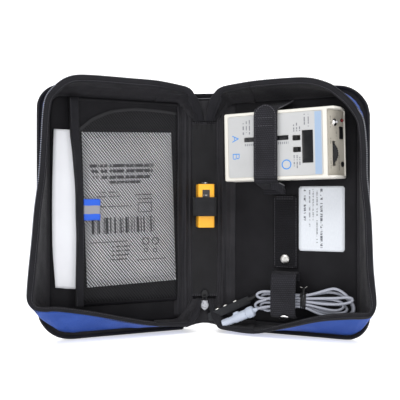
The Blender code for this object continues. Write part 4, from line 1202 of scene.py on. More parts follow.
# binding down the pockets' open side
left_edge = catmull([(binding_u(z), z) for z in (34, 52, 76, 100, 127, 154, 190, 215, 249)], 6)
rows = []
for i, (u, z) in enumerate(left_edge):
    w = float(np.interp(z, [36, 100, 154, 190, 215, 249], [7.6, 7.0, 7.2, 8.2, 8.6, 9.2]))
    b = 0.25 * noise.noise(Vector((z * 0.04, 3, 1)))
    row = []
    for q, n in ((0.0, 9.9), (-0.01, 11.8), (0.0, 13.4), (0.04, 14.5), (0.10, 15.05), (0.2, 15.15), (0.5, 15.2), (0.8, 15.15), (0.9, 15.0), (0.96, 14.6), (1.0, 13.6)):
        row.append(LEFT(u - q * w + b, z, n + b * 0.6))
    rows.append(row)
o = grid("pocket_binding_tape", rows, TAPE, 0.7, 0.0)
settle(o, "left_half", ["pocket_binding"])
sew = Many()
for q in (0.13, 0.87):
    stitches(sew, [LEFT(u - q * 7.2, z, 15.25) for u, z in left_edge], direction(LEFT, (0, 0, 1)), 2.6, 1.8, 0.18, 0.05)
settle(sew.make("pocket_stitches", [THREAD], 40), "left_half")

# striped ribbon tab, folded and sewn under the binding
k = Nodes("striped_ribbon", 0.55, Sheen_Weight=0.3, Sheen_Roughness=0.3, Specular_IOR_Level=0.4)
rx, ry, _ = k.split(k.coords(True))
grey = k.rect(rx, ry, -1.0, 6.7 * MM, 1.0, 15.4 * MM, 0.0003)
rib = k.math("ABSOLUTE", k.math("SINE", k.math("MULTIPLY", ry, math.pi / 0.0007)))
fine = k.math("ABSOLUTE", k.math("SINE", k.math("MULTIPLY", rx, math.pi / 0.0009)))
# in both stripes the rib crowns are painted lighter than the grooves: painted shade of the ribs
blue = k.mix(k.math("MULTIPLY", rib, 0.6), (0.012, 0.085, 0.60), (0.030, 0.16, 0.82))
grey_c = k.mix(k.math("MULTIPLY", rib, 0.6), (0.24, 0.24, 0.27), (0.40, 0.40, 0.44))
k.colour(k.mix(grey, blue, grey_c))
k.bump(k.math("MULTIPLY", rib, k.math("ADD", 0.5, k.math("MULTIPLY", fine, 0.5))), 0.0002, 0.9)
RIBBON = k.m
rows = []
loop = catmull([(117.5, 14.1), (112, 14.25), (104, 14.3), (99.2, 14.25), (98.0, 14.75), (99.2, 15.35), (104, 15.5), (110, 15.45), (114.5, 15.55)], 4)
for u, n in loop:
    rows.append([LEFT(u, 122.9 + i / 12 * 22.1 + 0.15 * math.sin(u * 0.5), n + 0.10 * math.sin(i * 0.9 + u * 0.3)) for i in range(13)])
o = grid("ribbon_tab", rows, RIBBON, 0.35, 0.0)
settle(o, "left_half", ["fabric_tab"])


# ------------------------------------------------------------------ solids cut and bevelled in their own frame
def local_prism(poly, h0, h1, along="z", bevel=0.0, segs=3, above=None, angle=25):
    """A prism in its own frame, in metres from mm. Its sharp edges can be rounded, or only those above a height."""
    bm = bmesh.new()
    f = (lambda p, q, h: (p, q, h)) if along == "z" else (lambda p, q, h: (p, h, q))
    lo = [bm.verts.new(Vector(f(p, q, h0)) * MM) for p, q in poly]
    hi = [bm.verts.new(Vector(f(p, q, h1)) * MM) for p, q in poly]
    m = len(poly)
    for i in range(m):
        j = (i + 1) % m
        bm.faces.new((lo[i], lo[j], hi[j], hi[i]))
    bm.faces.new(lo[::-1])
    bm.faces.new(hi)
    bmesh.ops.recalc_face_normals(bm, faces=bm.faces)
    if bevel:
        edges = [e for e in bm.edges if e.calc_face_angle(0) > math.radians(angle) and (above is None or max(v.co.z for v in e.verts) > above * MM)]
        bmesh.ops.bevel(bm, geom=edges, offset=bevel * MM, offset_type="OFFSET", segments=segs, profile=0.5, affect="EDGES", clamp_overlap=True)
    me = bpy.data.meshes.new("local")
    bm.to_mesh(me)
    bm.free()
    o = bpy.data.objects.new("local", me)
    bpy.context.scene.collection.objects.link(o)
    return o


def rounded_rect(x0, y0, x1, y1, r, n=4):
    pts = []
    for cx, cy, a in ((x1 - r, y1 - r, 0), (x0 + r, y1 - r, 90), (x0 + r, y0 + r, 180), (x1 - r, y0 + r, 270)):
        pts += [(cx + r * math.cos(math.radians(a + 90 * i / n)), cy + r * math.sin(math.radians(a + 90 * i / n))) for i in range(n + 1)]
    return pts


def circle(cx, cy, r, n=24):
    return [(cx + r * math.cos(2 * math.pi * i / n), cy + r * math.sin(2 * math.pi * i / n)) for i in range(n)]


def bake(name, base, cutters, place, mat, smooth=35, uv=None):
    """Cuts, then places a local solid. uv picks the two local axes that give UVs in metres."""
    for c in cutters:
        m = base.modifiers.new("cut", "BOOLEAN")
        m.operation = "DIFFERENCE"
        m.object = c
    dg = bpy.context.evaluated_depsgraph_get()
    me = bpy.data.meshes.new_from_object(base.evaluated_get(dg))
    for o in [base, *cutters]:
        bpy.data.objects.remove(o)
    local = [v.co.copy() for v in me.vertices]
    for v, c in zip(me.vertices, local):
        v.co = place(c.x / MM, c.y / MM, c.z / MM)
    if uv:
        layer = me.uv_layers.new(name="UVMap")
        for loop, d in zip(me.loops, layer.data):
            c = local[loop.vertex_index]
            d.uv = (c[uv[0]], c[uv[1]])
    me.materials.clear()
    me.materials.append(mat)
    bm = bmesh.new()
    bm.from_mesh(me)
    bmesh.ops.recalc_face_normals(bm, faces=bm.faces)
    bm.to_mesh(me)
    bm.free()
    me.polygons.foreach_set("material_index", [0] * len(me.polygons))
    me.shade_smooth()
    me.set_sharp_from_angle(angle=math.radians(smooth))
    me.name = name
    o = bpy.data.objects.new(name, me)
    bpy.context.scene.collection.objects.link(o)
    return o


# ------------------------------------------------------------------ the handheld unit
PANEL_TOP, PANEL_BOTTOM = (109.8, 28.3), (119.9, 4.6)
PL = math.hypot(PANEL_BOTTOM[0] - PANEL_TOP[0], PANEL_BOTTOM[1] - PANEL_TOP[1])
PD = ((PANEL_BOTTOM[0] - PANEL_TOP[0]) / PL, (PANEL_BOTTOM[1] - PANEL_TOP[1]) / PL)


def endp(w, b, t):
    return unit(PANEL_TOP[0] + PD[0] * w - PD[1] * t, b, PANEL_TOP[1] + PD[1] * w + PD[0] * t)


UA, UB, UC = direction(unit, (1, 0, 0)), direction(unit, (0, 1, 0)), direction(unit, (0, 0, 1))
EW, ET = direction(endp, (1, 0, 0)), direction(endp, (0, 0, 1))
DISPLAY, BARGRAPH = (83.6, 16.0, 94.8, 48.8), (22.4, 40.1, 69.8, 44.9)
SLOTS = ((74.0, 39.0, 82.0, 44.2), (74.4, 27.2, 82.4, 32.4))
L = 121.2

shell = local_prism([(0, 12.2), (L, 12.2), (L, 19.0), (116.2, 30.75), (0, 30.75)], 0, 71, "y", 1.9, 4, 12.3)
cuts = [local_prism(rounded_rect(4.4, 3.2, 104.9, 67.8, 2.2), 30.02, 36),
        local_prism([(2.2, 10), (140, 10), (140, 40), (108.9, 40), (108.9, 28), (2.2, 28)], 2.6, 68.4, "y"),
        local_prism(rounded_rect(-1, 9, 3, 35, 0.5), 6, 24)]
cuts += [local_prism(rounded_rect(*w, 0.5), 26, 36) for w in (DISPLAY, BARGRAPH) + SLOTS]
settle(bake("unit_front_case", shell, cuts, unit, CASE_PLASTIC, 32), "unit", ["unit_front_shell"])
shell = local_prism([(0, 0), (L, 0), (L, 11.8), (0, 11.8)], 0, 71, "y", 1.7, 4, -1)
cuts = [local_prism([(2.2, 2), (115.8, 2), (115.8, 3.6), (140, 3.6), (140, 20), (2.2, 20)], 2.6, 68.4, "y"), local_prism(rounded_rect(-1, 9, 3, 35, 0.5), 6, 24)]
settle(bake("unit_back_case", shell, cuts, unit, CASE_PLASTIC, 32), "unit", ["unit_rear_shell"])

# printed front label
k = Nodes("front_label", 0.40, Specular_IOR_Level=0.4)
la, lb, _ = k.split(k.coords(True))
paint = k.mix(k.remap(k.noise(k.coords(False), 40.0, 3.0), 0.3, 0.7, 0, 1), (0.455, 0.460, 0.463), (0.490, 0.494, 0.498))


def seg(x0, y0, x1, y1, w):
    """A printed stroke."""
    ln = math.hypot(x1 - x0, y1 - y0)
    dx, dy = (x1 - x0) / ln, (y1 - y0) / ln
    px, py = k.math("SUBTRACT", la, x0 * MM), k.math("SUBTRACT", lb, y0 * MM)
    t = k.math("ADD", k.math("MULTIPLY", px, dx), k.math("MULTIPLY", py, dy))
    s = k.math("SUBTRACT", k.math("MULTIPLY", py, dx), k.math("MULTIPLY", px, dy))
    return k.rect(t, s, -w / 2 * MM, -w / 2 * MM, (ln + w / 2) * MM, w / 2 * MM)


def both(*masks):
    out = masks[0]
    for m in masks[1:]:
        out = k.math("MAXIMUM", out, m)
    return out


paint = k.mix(k.rect(la, lb, 96.7 * MM, 4.4 * MM, 103.4 * MM, 66.6 * MM), paint, (0.305, 0.405, 0.550))
a_mask = both(seg(9.6, 47.2, 15.8, 44.2, 1.0), seg(9.6, 41.2, 15.8, 44.2, 1.0), seg(11.6, 46.0, 11.6, 42.3, 0.8))
b_mask = both(seg(9.8, 28.2, 16.6, 28.2, 1.0), seg(9.8, 28.0, 9.8, 24.2, 0.9), seg(13.2, 28.0, 13.2, 24.4, 0.8), seg(16.5, 28.0, 16.5, 24.6, 0.9), seg(10.5, 23.2, 12.6, 23.2, 1.0), seg(13.9, 23.6, 15.8, 23.6, 1.0))
dx, dy = k.math("SUBTRACT", la, 67.3 * MM), k.math("SUBTRACT", lb, 15.2 * MM)
dist = k.math("SQRT", k.math("ADD", k.math("MULTIPLY", dx, dx), k.math("MULTIPLY", dy, dy)))
ring = k.math("MULTIPLY", k.math("LESS_THAN", dist, 5.1 * MM), k.math("GREATER_THAN", dist, 3.9 * MM))
paint = k.mix(both(a_mask, b_mask, ring), paint, (0.045, 0.235, 0.62))
dash = k.math("GREATER_THAN", k.noise(k.scaled(k.coords(True), (0.05, 1, 1)), 520.0, 1.0), 0.45)
text = None
for a0, b0, b1, w in ((21.6, 48, 60, 1.5), (25.0, 50, 62, 1.1), (28.4, 48, 63, 1.1), (75.4, 46.5, 55, 1.2), (78.4, 46.5, 57, 1.2), (81.4, 46.5, 54, 1.2), (75.4, 13, 24.5, 1.2), (78.4, 11, 24.5, 1.2), (81.2, 14, 22, 1.2), (86.4, 53, 65, 1.2), (90.4, 52, 64.5, 1.0)):
    m = k.rect(la, lb, (a0 - w / 2) * MM, b0 * MM, (a0 + w / 2) * MM, b1 * MM)
    text = m if text is None else k.math("MAXIMUM", text, m)
text = k.math("MULTIPLY", text, dash)
tick = k.math("GREATER_THAN", k.math("SINE", k.math("MULTIPLY", la, 2 * math.pi / 0.0021)), 0.1)
text = k.math("MAXIMUM", text, k.math("MULTIPLY", k.rect(la, lb, 22.6 * MM, 36.0 * MM, 69.8 * MM, 38.4 * MM), tick))
paint = k.mix(k.math("MULTIPLY", text, 0.75), paint, (0.08, 0.085, 0.11))
k.colour(paint)
k.rough(k.remap(k.noise(k.coords(False), 60.0, 3.0), 0.3, 0.7, 0.34, 0.5))
k.bump(k.noise(k.coords(False), 1500.0, 2.0), 0.00003, 0.6)
LABEL = k.m
plate = local_prism(rounded_rect(5.0, 3.8, 104.3, 67.2, 1.8), 30.14, 30.5)
cuts = [local_prism(rounded_rect(w[0] - 0.1, w[1] - 0.1, w[2] + 0.1, w[3] + 0.1, 0.5), 29, 33) for w in (DISPLAY, BARGRAPH) + SLOTS]
settle(bake("front_label_film", plate, cuts, unit, LABEL, 30, (0, 1)), "unit", ["unit_label"])

# windows
for tag, w in (("display", DISPLAY), ("bargraph", BARGRAPH)):
    many = Many()
    c = unit((w[0] + w[2]) / 2, (w[1] + w[3]) / 2, 29.5)
    many.block(c, UA, UB, UC, ((w[2] - w[0]) / 2 - 0.15) * MM, ((w[3] - w[1]) / 2 - 0.15) * MM, 0.9 * MM, 0.06)
    inset_w = ((w[2] - w[0]) / 2 - 1.3) * MM, ((w[3] - w[1]) / 2 - 1.3) * MM
    if tag == "display":
        many.block(unit((w[0] + w[2]) / 2, (w[1] + w[3]) / 2, 30.35), UA, UB, UC, *inset_w, 0.12 * MM, 0.03, 1)
    else:
        for i in range(10):
            many.block(unit(w[0] + 3.4 + i * 4.5, (w[1] + w[3]) / 2, 30.35), UA, UB, UC, 1.5 * MM, 1.0 * MM, 0.12 * MM, 0.1, 1)
    settle(many.make(tag + "_lens", [WINDOW, plastic(tag + "_cells", (0.010, 0.0105, 0.012), 0.16, 0.000004, 0.2, 0.22)], 30), "unit", [tag + "_window"])
for tag, s in zip("ab", SLOTS):
    many = Many()
    bm_ = 0.5 * (s[1] + s[3])
    many.block(unit(s[0] + 2.85, bm_, 28.9), UA, UB, UC, 2.3 * MM, 1.9 * MM, 2.2 * MM, 0.12)
    for i in range(4):
        many.block(unit(s[0] + 1.35 + i * 1.0, bm_, 31.25), UA, UB, UC, 0.28 * MM, 1.8 * MM, 0.35 * MM, 0.3)
    settle(many.make("switch_knob_" + tag, [BLACK_PLASTIC], 35), "slide_switch_" + tag, ["slide_switch_" + tag])
well = Many()
for s in SLOTS:
    well.block(unit((s[0] + s[2]) / 2, 0.5 * (s[1] + s[3]), 27.0), UA, UB, UC, 3.9 * MM, 2.5 * MM, 0.5 * MM, 0.1)
settle(well.make("switch_wells", [BLACK_PLASTIC], 35), "unit")

# slanted end panel and its controls
TOGGLE, LED, RECT, ROUND = (8.6, 55.6), (22.6, 58.6), (18.6, 39.8, 24.4, 52.0), (23.0, 14.4)
WHEEL_A, WHEEL_B, WHEEL_C = 103.2, 24.8, 20.0
wheel_w = (PANEL_TOP[1] - WHEEL_C) / -PD[1]
k = Nodes("end_panel_plastic", 0.5, Specular_IOR_Level=0.4)
la, lb, _ = k.split(k.coords(True))
paint = k.mix(k.remap(k.noise(k.coords(False), 30.0, 4.0), 0.3, 0.7, 0, 1), (0.44, 0.41, 0.35), (0.52, 0.485, 0.42))
dash = k.math("GREATER_THAN", k.noise(k.scaled(k.coords(True), (0.05, 1, 1)), 620.0, 1.0), 0.46)
text = None
for w0, b0, b1 in ((3.6, 50, 62), (3.6, 34, 40), (3.4, 8, 20), (13.4, 42, 52), (17.2, 8, 24)):
    m = k.rect(la, lb, (w0 - 0.7) * MM, b0 * MM, (w0 + 0.7) * MM, b1 * MM)
    text = m if text is None else k.math("MAXIMUM", text, m)
k.colour(k.mix(k.math("MULTIPLY", k.math("MULTIPLY", text, dash), 0.6), paint, (0.10, 0.09, 0.08)))
k.rough(k.remap(k.noise(k.coords(False), 90.0, 3.0), 0.3, 0.7, 0.42, 0.6))
k.bump(k.noise(k.coords(False), 1700.0, 2.0), 0.00006, 0.8)
PANEL = k.m
plate = local_prism(rounded_rect(0, 2.9, PL, 68.1, 0.4), -1.6, 0.0)
cuts = [local_prism(rounded_rect(wheel_w - 2.6, WHEEL_B - 12.6, wheel_w + 2.5, WHEEL_B + 12.6, 0.8), -6, 4),
        local_prism(circle(*TOGGLE, 3.4), -6, 4), local_prism(circle(*LED, 2.0), -6, 4), local_prism(circle(*ROUND, 2.9), -6, 4),
        local_prism(rounded_rect(RECT[0] - 0.3, RECT[1] - 0.3, RECT[2] + 0.3, RECT[3] + 0.3, 0.5), -6, 4)]
settle(bake("slanted_panel", plate, cuts, endp, PANEL, 30, (0, 1)), "unit", ["end_panel"])
rings = []
for r, h in ((1.2, 18.55), (13.0, 18.55), (13.9, 18.7), (14.3, 19.1), (14.3, 20.9), (13.9, 21.3), (13.0, 21.45), (1.2, 21.45)):
    ring = []
    for i in range(144):
        a = 2 * math.pi * i / 144
        rr = r - (0.45 if r > 14.2 and i % 4 >= 2 else 0.0)
        ring.append(unit(WHEEL_A + rr * math.cos(a), WHEEL_B + rr * math.sin(a), h))
    rings.append(ring)
many = Many()
many.rings(rings)
settle(many.make("volume_wheel", [BLACK_PLASTIC], 30), "thumbwheel", ["thumbwheel"])
many = Many()
many.turned(endp(*TOGGLE, -3.6), ET, [(3.1, 0), (3.1, 3.4), (3.1, 3.7)], 24)
ring = []
for h, r in ((0.05, 3.9), (0.25, 4.15), (1.3, 4.15), (1.5, 3.9)):
    ring.append([endp(TOGGLE[0] + r * math.cos(math.radians(60 * i + 12)), TOGGLE[1] + r * math.sin(math.radians(60 * i + 12)), h) for i in range(6)])
many.rings(ring)
many.turned(endp(*TOGGLE, 1.4), ET, [(2.7, 0), (2.9, 0.1), (2.9, 0.3), (2.6, 0.45), (2.9, 0.6), (2.9, 0.8), (2.2, 1.1), (1.5, 0.9)], 24)
settle(many.make("toggle_nut", [CHROME], 30), "unit", ["toggle_bushing"])
many = Many()
many.turned(endp(*TOGGLE, -1.2), ET, [(0.9, 0), (1.0, 2.0), (1.1, 3.8), (1.4, 5.2), (1.45, 5.7), (1.2, 6.2), (0.6, 6.5), (0.1, 6.6)], 20)
settle(many.make("toggle_bat", [STEEL], 50), "toggle_lever", ["toggle_lever"])
many = Many()
many.turned(endp(*LED, -3.0), ET, [(1.6, 0), (1.6, 3.3), (1.9, 3.3), (1.9, 3.6), (1.55, 3.6), (1.5, 4.3), (1.15, 4.9), (0.6, 5.2), (0.1, 5.28)], 20)
settle(many.make("red_lamp", [plastic("red_lens", (0.17, 0.006, 0.010), 0.14, 0.00001, 0.2, 0.6)], 50), "unit", ["power_led"])
body = local_prism(rounded_rect(*RECT, 0.6), -6.0, 0.5, "z", 0.25, 2)
settle(bake("lead_socket", body, [local_prism(rounded_rect(RECT[0] + 0.9, RECT[1] + 0.9, RECT[2] - 0.9, RECT[3] - 0.9, 0.5), -4.6, 2)], endp, BLACK_PLASTIC, 30), "unit", ["input_jack"])
body = local_prism(circle(*ROUND, 2.7, 28), -5.6, 0.5, "z", 0.3, 2, angle=60)
settle(bake("round_socket", body, [local_prism(circle(*ROUND, 1.5, 20), -3.8, 2)], endp, BLACK_PLASTIC, 30), "unit", ["earphone_jack"])
many = Many()
for i in range(4):
    many.pill(endp(RECT[0] + 2.9, RECT[1] + 2.4 + i * 2.4, -4.7), endp(RECT[0] + 2.9, RECT[1] + 2.4 + i * 2.4, -1.2), 0.35 * MM, 8)
settle(many.make("socket_pins", [SNAP], 50), "unit")
many = Many()
many.block(unit(-1.1, 22, 15), UB, UC, UA, 15.4 * MM, 10.9 * MM, 0.8 * MM, 0.1)
for i in range(5):
    many.block(unit(-2.0, 12 + i * 1.6, 15), UB, UC, UA, 0.35 * MM, 5.5 * MM, 0.3 * MM, 0.4)
settle(many.make("battery_cover", [CASE_PLASTIC], 30), "battery_door", ["battery_door"])
JACKET = plastic("battery_jacket", (0.86, 0.385, 0.018), 0.34, 0.00002, 0.06, 0.5)
for node, m in (("circuit_board", BOARD), ("unit_battery", JACKET), ("unit_battery_terminals", STEEL), ("potentiometer", STEEL)):
    o = frame["nodes"][node]
    o.data.materials.clear()
    o.data.materials.append(m)
many = Many()
many.turned(unit(7, 64, -0.25), -UC, [(1.5, 0), (2.5, 0.05), (2.6, 0.3), (2.3, 0.65), (1.2, 0.8), (1.0, 0.45), (0.2, 0.45)], 20)
settle(many.make("back_screw", [STEEL], 40), "unit", ["case_screw"])

# ------------------------------------------------------------------ spare battery, loop, zip slider
CELL_TURN = math.radians(6.0)


def cell(x, p, z):
    return world(0.3 + x * math.cos(CELL_TURN) + p * math.sin(CELL_TURN), 21.6 - x * math.sin(CELL_TURN) + p * math.cos(CELL_TURN), 114.6 + z)


k = Nodes("battery_wrap", 0.32, Specular_IOR_Level=0.5)
bx, bz, _ = k.split(k.coords(True))
shade = k.remap(k.noise(k.coords(False), 60.0, 3.0), 0.3, 0.7, 0, 1)
k.colour(k.mix(shade, (0.80, 0.355, 0.010), (0.93, 0.455, 0.022)))
k.rough(k.remap(k.noise(k.coords(False), 150.0, 3.0), 0.3, 0.7, 0.26, 0.42))
k.bump(k.noise(k.coords(False), 300.0, 3.0), 0.00012, 0.5)
body = local_prism(rounded_rect(-8.75, -13.25, 8.75, 13.25, 1.9, 5), 0, 46.4, "z", 0.45, 3, angle=50)
settle(bake("battery_case", body, [], cell, k.m, 40, (0, 2)), "spare_battery", ["spare_battery"])
k = Nodes("battery_print", 0.36, Specular_IOR_Level=0.5)
bx, bz, _ = k.split(k.coords(True))
dash = k.math("GREATER_THAN", k.noise(k.scaled(k.coords(True), (1, 0.2, 1)), 700.0, 2.0), 0.5)
rows_ = k.math("GREATER_THAN", k.math("SINE", k.math("MULTIPLY", bz, 2 * math.pi / 0.0026)), 0.0)
mask = k.math("MULTIPLY", k.math("MULTIPLY", dash, rows_), k.rect(bx, bz, -3.2 * MM, 16 * MM, 2.6 * MM, 36 * MM))
k.colour(k.mix(mask, (0.020, 0.018, 0.018), (0.42, 0.40, 0.40)))
k.rough(k.remap(k.noise(k.coords(False), 150.0, 3.0), 0.3, 0.7, 0.3, 0.42))
k.bump(k.noise(k.coords(False), 300.0, 3.0), 0.0001, 0.4)
body = local_prism([(-4.3, 13.2), (3.6, 13.2), (3.6, 13.36), (-4.3, 13.36)], 14, 40.4)
settle(bake("battery_print_panel", body, [], cell, k.m, 30, (0, 2)), "spare_battery")
many = Many()
many.block(cell(0, 0, 46.85), direction(cell, (1, 0, 0)), direction(cell, (0, 1, 0)), Vector((0, 0, 1)), 7.6 * MM, 12.1 * MM, 0.42 * MM, 0.1)
many.turned(cell(0, -6.35, 47.2), (0, 0, 1), [(4.0, 0), (4.1, 0.4), (3.6, 0.7), (4.1, 1.1), (4.1, 1.3), (3.4, 1.4)], 6, 1)
many.turned(cell(0, 6.35, 47.2), (0, 0, 1), [(2.7, 0), (2.5, 0.5), (2.8, 0.9), (2.8, 1.2), (2.4, 1.4)], 20, 1)
settle(many.make("battery_top", [BLACK_PLASTIC, SNAP], 40), "spare_battery", ["spare_battery_terminals"])


def strap(name, path, mat, thick=1.3, across=14, body=None, replaces=(), seed=1.0, per=5, wave=0.12):
    """A webbing band. path: (left point, right point) pairs in world space. Ribs run across it."""
    n = per * (len(path) - 1) + 1
    a = resample([p[0] for p in path], n * 2)
    b = resample([p[1] for p in path], n * 2)
    rows, uv, run = [], [], 0.0
    for i, (p, q) in enumerate(zip(a, b)):
        if i:
            run += ((p + q) / 2 - (a[i - 1] + b[i - 1]) / 2).length
        t = ((a[min(i + 1, len(a) - 1)] + b[min(i + 1, len(a) - 1)]) - (a[max(i - 1, 0)] + b[max(i - 1, 0)])).normalized()
        nrm = (q - p).cross(t).normalized()
        row = []
        for j in range(across + 1):
            s = j / across
            w = wave * (noise.noise(Vector((i * 0.12, s * 2.2, seed))) + 0.5 * noise.noise(Vector((i * 0.3, s * 4, seed + 3))))
            row.append(p.lerp(q, s) + nrm * (w * MM))
            uv.append(((q - p).length * s, run))
        rows.append(row)
    m = across + 1
    verts = [v for r in rows for v in r]
    faces = [(i * m + j, (i + 1) * m + j, (i + 1) * m + j + 1, i * m + j + 1) for i in range(len(rows) - 1) for j in range(across)]
    o = finish_mesh(name, verts, faces, mat, uv, 70)
    sol = o.modifiers.new("webbing_thickness", "SOLIDIFY")
    sol.thickness, sol.offset = thick * MM, 0.0
    settle(o, body, list(replaces))
    return o, rows


# elastic loop round the battery
ring = [(-15.6, 7.3), (-12.9, 7.4), (-12.0, 12), (-11.8, 22), (-11.2, 33.5), (-9.9, 36.6), (-6, 37.15), (0, 37.3), (6, 37.2), (10.1, 36.6), (11.5, 33.5), (12.1, 22), (12.2, 12), (13.0, 7.4), (15.6, 7.3)]
o, rows = strap("elastic_loop", [(world(x, p, 126.8), world(x, p, 147.0)) for x, p in ring], ELASTIC, 0.9, 12, "spine", ["battery_loop"], 3.0, 6)

# zip slider and its pull
many = Many()
many.rings([[world(x * s, p, z0) for x, z0 in ((-3.4, 36.8), (3.4, 36.8), (3.8, 41.0), (2.0, 44.3), (-2.0, 44.3), (-3.8, 41.0))] for p, s in ((7.1, 0.9), (7.6, 1.0), (8.5, 1.0), (8.6, 0.8), (9.2, 0.8), (9.3, 1.0), (10.1, 1.0), (10.5, 0.86))])
for x in (-1.0, 1.0):
    many.pill(world(x, 10.3, 37.5), world(x, 11.9, 39.2), 0.5 * MM, 8)
many.pill(world(-1.0, 11.9, 39.2), world(1.0, 11.9, 39.2), 0.5 * MM, 8)
settle(many.make("slider_body", [BLACK_PLASTIC], 35), "spine", ["zip_slider"])
k = Nodes("satin_pull", 0.36, 0.85, Specular_IOR_Level=0.5)
dots = k.new("ShaderNodeTexVoronoi")
k.put(dots.inputs["Vector"], k.coords(False))
dots.inputs["Scale"].default_value = 1300.0
pit = k.remap(dots.outputs["Distance"], 0.15, 0.5, 0.0, 1.0)
# the pits are painted darker than the ground between them: painted shade in the pits
k.colour(k.mix(pit, (0.20, 0.205, 0.225), (0.44, 0.45, 0.48)))
k.rough(k.remap(pit, 0, 1, 0.5, 0.32))
k.bump(pit, 0.00025, 0.9)
PULL = k.m
shield = [(-3.1, 33.4), (-3.3, 32.6), (-3.2, 31.4), (-4.4, 29.2), (-4.5, 27.4), (-3.2, 24.6), (0.0, 22.4), (3.2, 24.6), (4.5, 27.4), (4.4, 29.2), (3.2, 31.4), (3.3, 32.6), (3.1, 33.4)]
many = Many()
many.rings([[world(x * s, p, 30 + (z - 30) * s) for x, z in shield] for p, s in ((11.3, 0.86), (11.6, 1.0), (12.8, 1.0), (13.1, 0.9), (13.15, 0.74), (12.9, 0.68))])
for x in (-2.2, 2.2):
    many.pill(world(x, 12.2, 32.4), world(x * 0.8, 12.0, 37.6), 0.6 * MM, 8, 1)
many.pill(world(-1.9, 12.0, 37.4), world(1.9, 12.0, 37.4), 0.6 * MM, 8, 1)
settle(many.make("pull_tab", [PULL, BLACK_PLASTIC], 35), "zip_pull", ["zip_pull"])


# ------------------------------------------------------------------ right half: card, webbing, straps, snaps
more = Many()
k = Nodes("card_paper", 0.6, Specular_IOR_Level=0.3)
cu, cz, _ = k.split(k.coords(True))
fibre = k.noise(k.scaled(k.coords(True), (1.0, 0.3, 1.0)), 900.0, 3.0)
paint = k.mix(k.remap(fibre, 0.3, 0.7, 0, 1), (0.685, 0.715, 0.765), (0.735, 0.765, 0.81))
letters = k.math("GREATER_THAN", k.noise(k.scaled(k.coords(True), (0.25, 1.0, 1.0)), 640.0, 1.0), 0.49)
words = k.math("GREATER_THAN", k.noise(k.scaled(k.coords(True), (0.6, 1.0, 1.0)), 95.0, 0.0), 0.36)
text, bold = None, None
for u0, z1, z0, w, strong in ((91.2, 155.6, 119.4, 2.2, 1), (96.3, 154.5, 116.0, 1.5, 0), (100.0, 155.5, 122.8, 1.5, 0), (104.1, 154.8, 98.8, 1.5, 0), (108.7, 155.8, 93.9, 2.4, 1)):
    m = k.rect(cu, cz, (u0 - w / 2) * MM, z0 * MM, (u0 + w / 2) * MM, z1 * MM)
    if strong:
        bold = m if bold is None else k.math("MAXIMUM", bold, m)
    else:
        text = m if text is None else k.math("MAXIMUM", text, m)
ink = k.math("ADD", k.math("MULTIPLY", text, 0.6), k.math("MULTIPLY", bold, 0.86))
paint = k.mix(k.math("MULTIPLY", k.math("MULTIPLY", ink, letters), words), paint, (0.05, 0.055, 0.075))
k.colour(paint)
k.rough(k.remap(fibre, 0.3, 0.7, 0.52, 0.68))
k.bump(fibre, 0.00005, 0.7)
rows = []
for i in range(33):
    z = lerp(90.4, 158.4, i / 32)
    r = 1.7
    e = min(z - 90.4, 158.4 - z)
    cut = r - math.sqrt(max(0.0, r * r - (r - min(e, r)) ** 2))
    row = []
    for j in range(13):
        u = lerp(84.8 + cut, 132.6 - cut, j / 12)
        row.append(RIGHT(u, z, 7.0 + 0.16 * fbm((u * MM, z * MM, 2.0), 22, 7.0) + (0.35 * smooth((u - 128) / 6) * smooth((100 - z) / 12))))
    rows.append(row)
verts = [v for r in rows for v in r]
cuv = []
for i, r in enumerate(rows):
    z = lerp(90.4, 158.4, i / 32)
    e = min(z - 90.4, 158.4 - z)
    cut = 1.7 - math.sqrt(max(0.0, 1.7 ** 2 - (1.7 - min(e, 1.7)) ** 2))
    cuv += [(lerp(84.8 + cut, 132.6 - cut, j / 12) * MM, z * MM) for j in range(13)]
faces = [(i * 13 + j, (i + 1) * 13 + j, (i + 1) * 13 + j + 1, i * 13 + j + 1) for i in range(32) for j in range(12)]
o = finish_mesh("contact_card", verts, faces, k.m, cuv, 40)
sol = o.modifiers.new("card_thickness", "SOLIDIFY")
sol.thickness, sol.offset = 0.4 * MM, 0.0
settle(o, "right_half", ["card_label"])

n_right = direction(RIGHT, (0, 0, 1))
u_right = direction(RIGHT, (1, 0, 0))
up = Vector((0, 0, 1))
path = [(RIGHT(57.4, z, 7.65), RIGHT(83.6, z, 7.65)) for z in (71.4, 90, 110, 130, 149.0)]
o, rows = strap("sewn_webbing", path, WEBBING_DARK, 1.5, 16, "right_half", ["webbing_strip"], 11.0, 8, 0.10)
for u in (58.9, 82.1):
    stitches(more, [RIGHT(u, z, 8.45) for z in (72.5, 110, 148)], n_right, 2.7, 1.9, 0.22, 0.05)
for z in (147.4, 145.2, 72.6):
    stitches(more, [RIGHT(u, z, 8.45) for u in (59.5, 81.5)], n_right, 2.7, 1.9, 0.22, 0.05)
many = Many()
many.turned(RIGHT(70, 81, 8.5), n_right, [(4.9, 0), (5.05, 0.2), (5.05, 0.6), (4.8, 1.0), (4.2, 1.45), (3.4, 1.85), (2.5, 2.2), (1.6, 2.42), (0.8, 2.52), (0.05, 2.55)], 48)
settle(many.make("snap_stud_cap", [metal("worn_nickel_cap", (0.62, 0.61, 0.59), 0.38)], 60), "right_half", ["snap_stud"])

# strap that holds the unit: the fixed end under it and the long band over it
def band(a, b, pts):
    return [(RIGHT(a, z, n), RIGHT(b, z, n)) for z, n in pts]


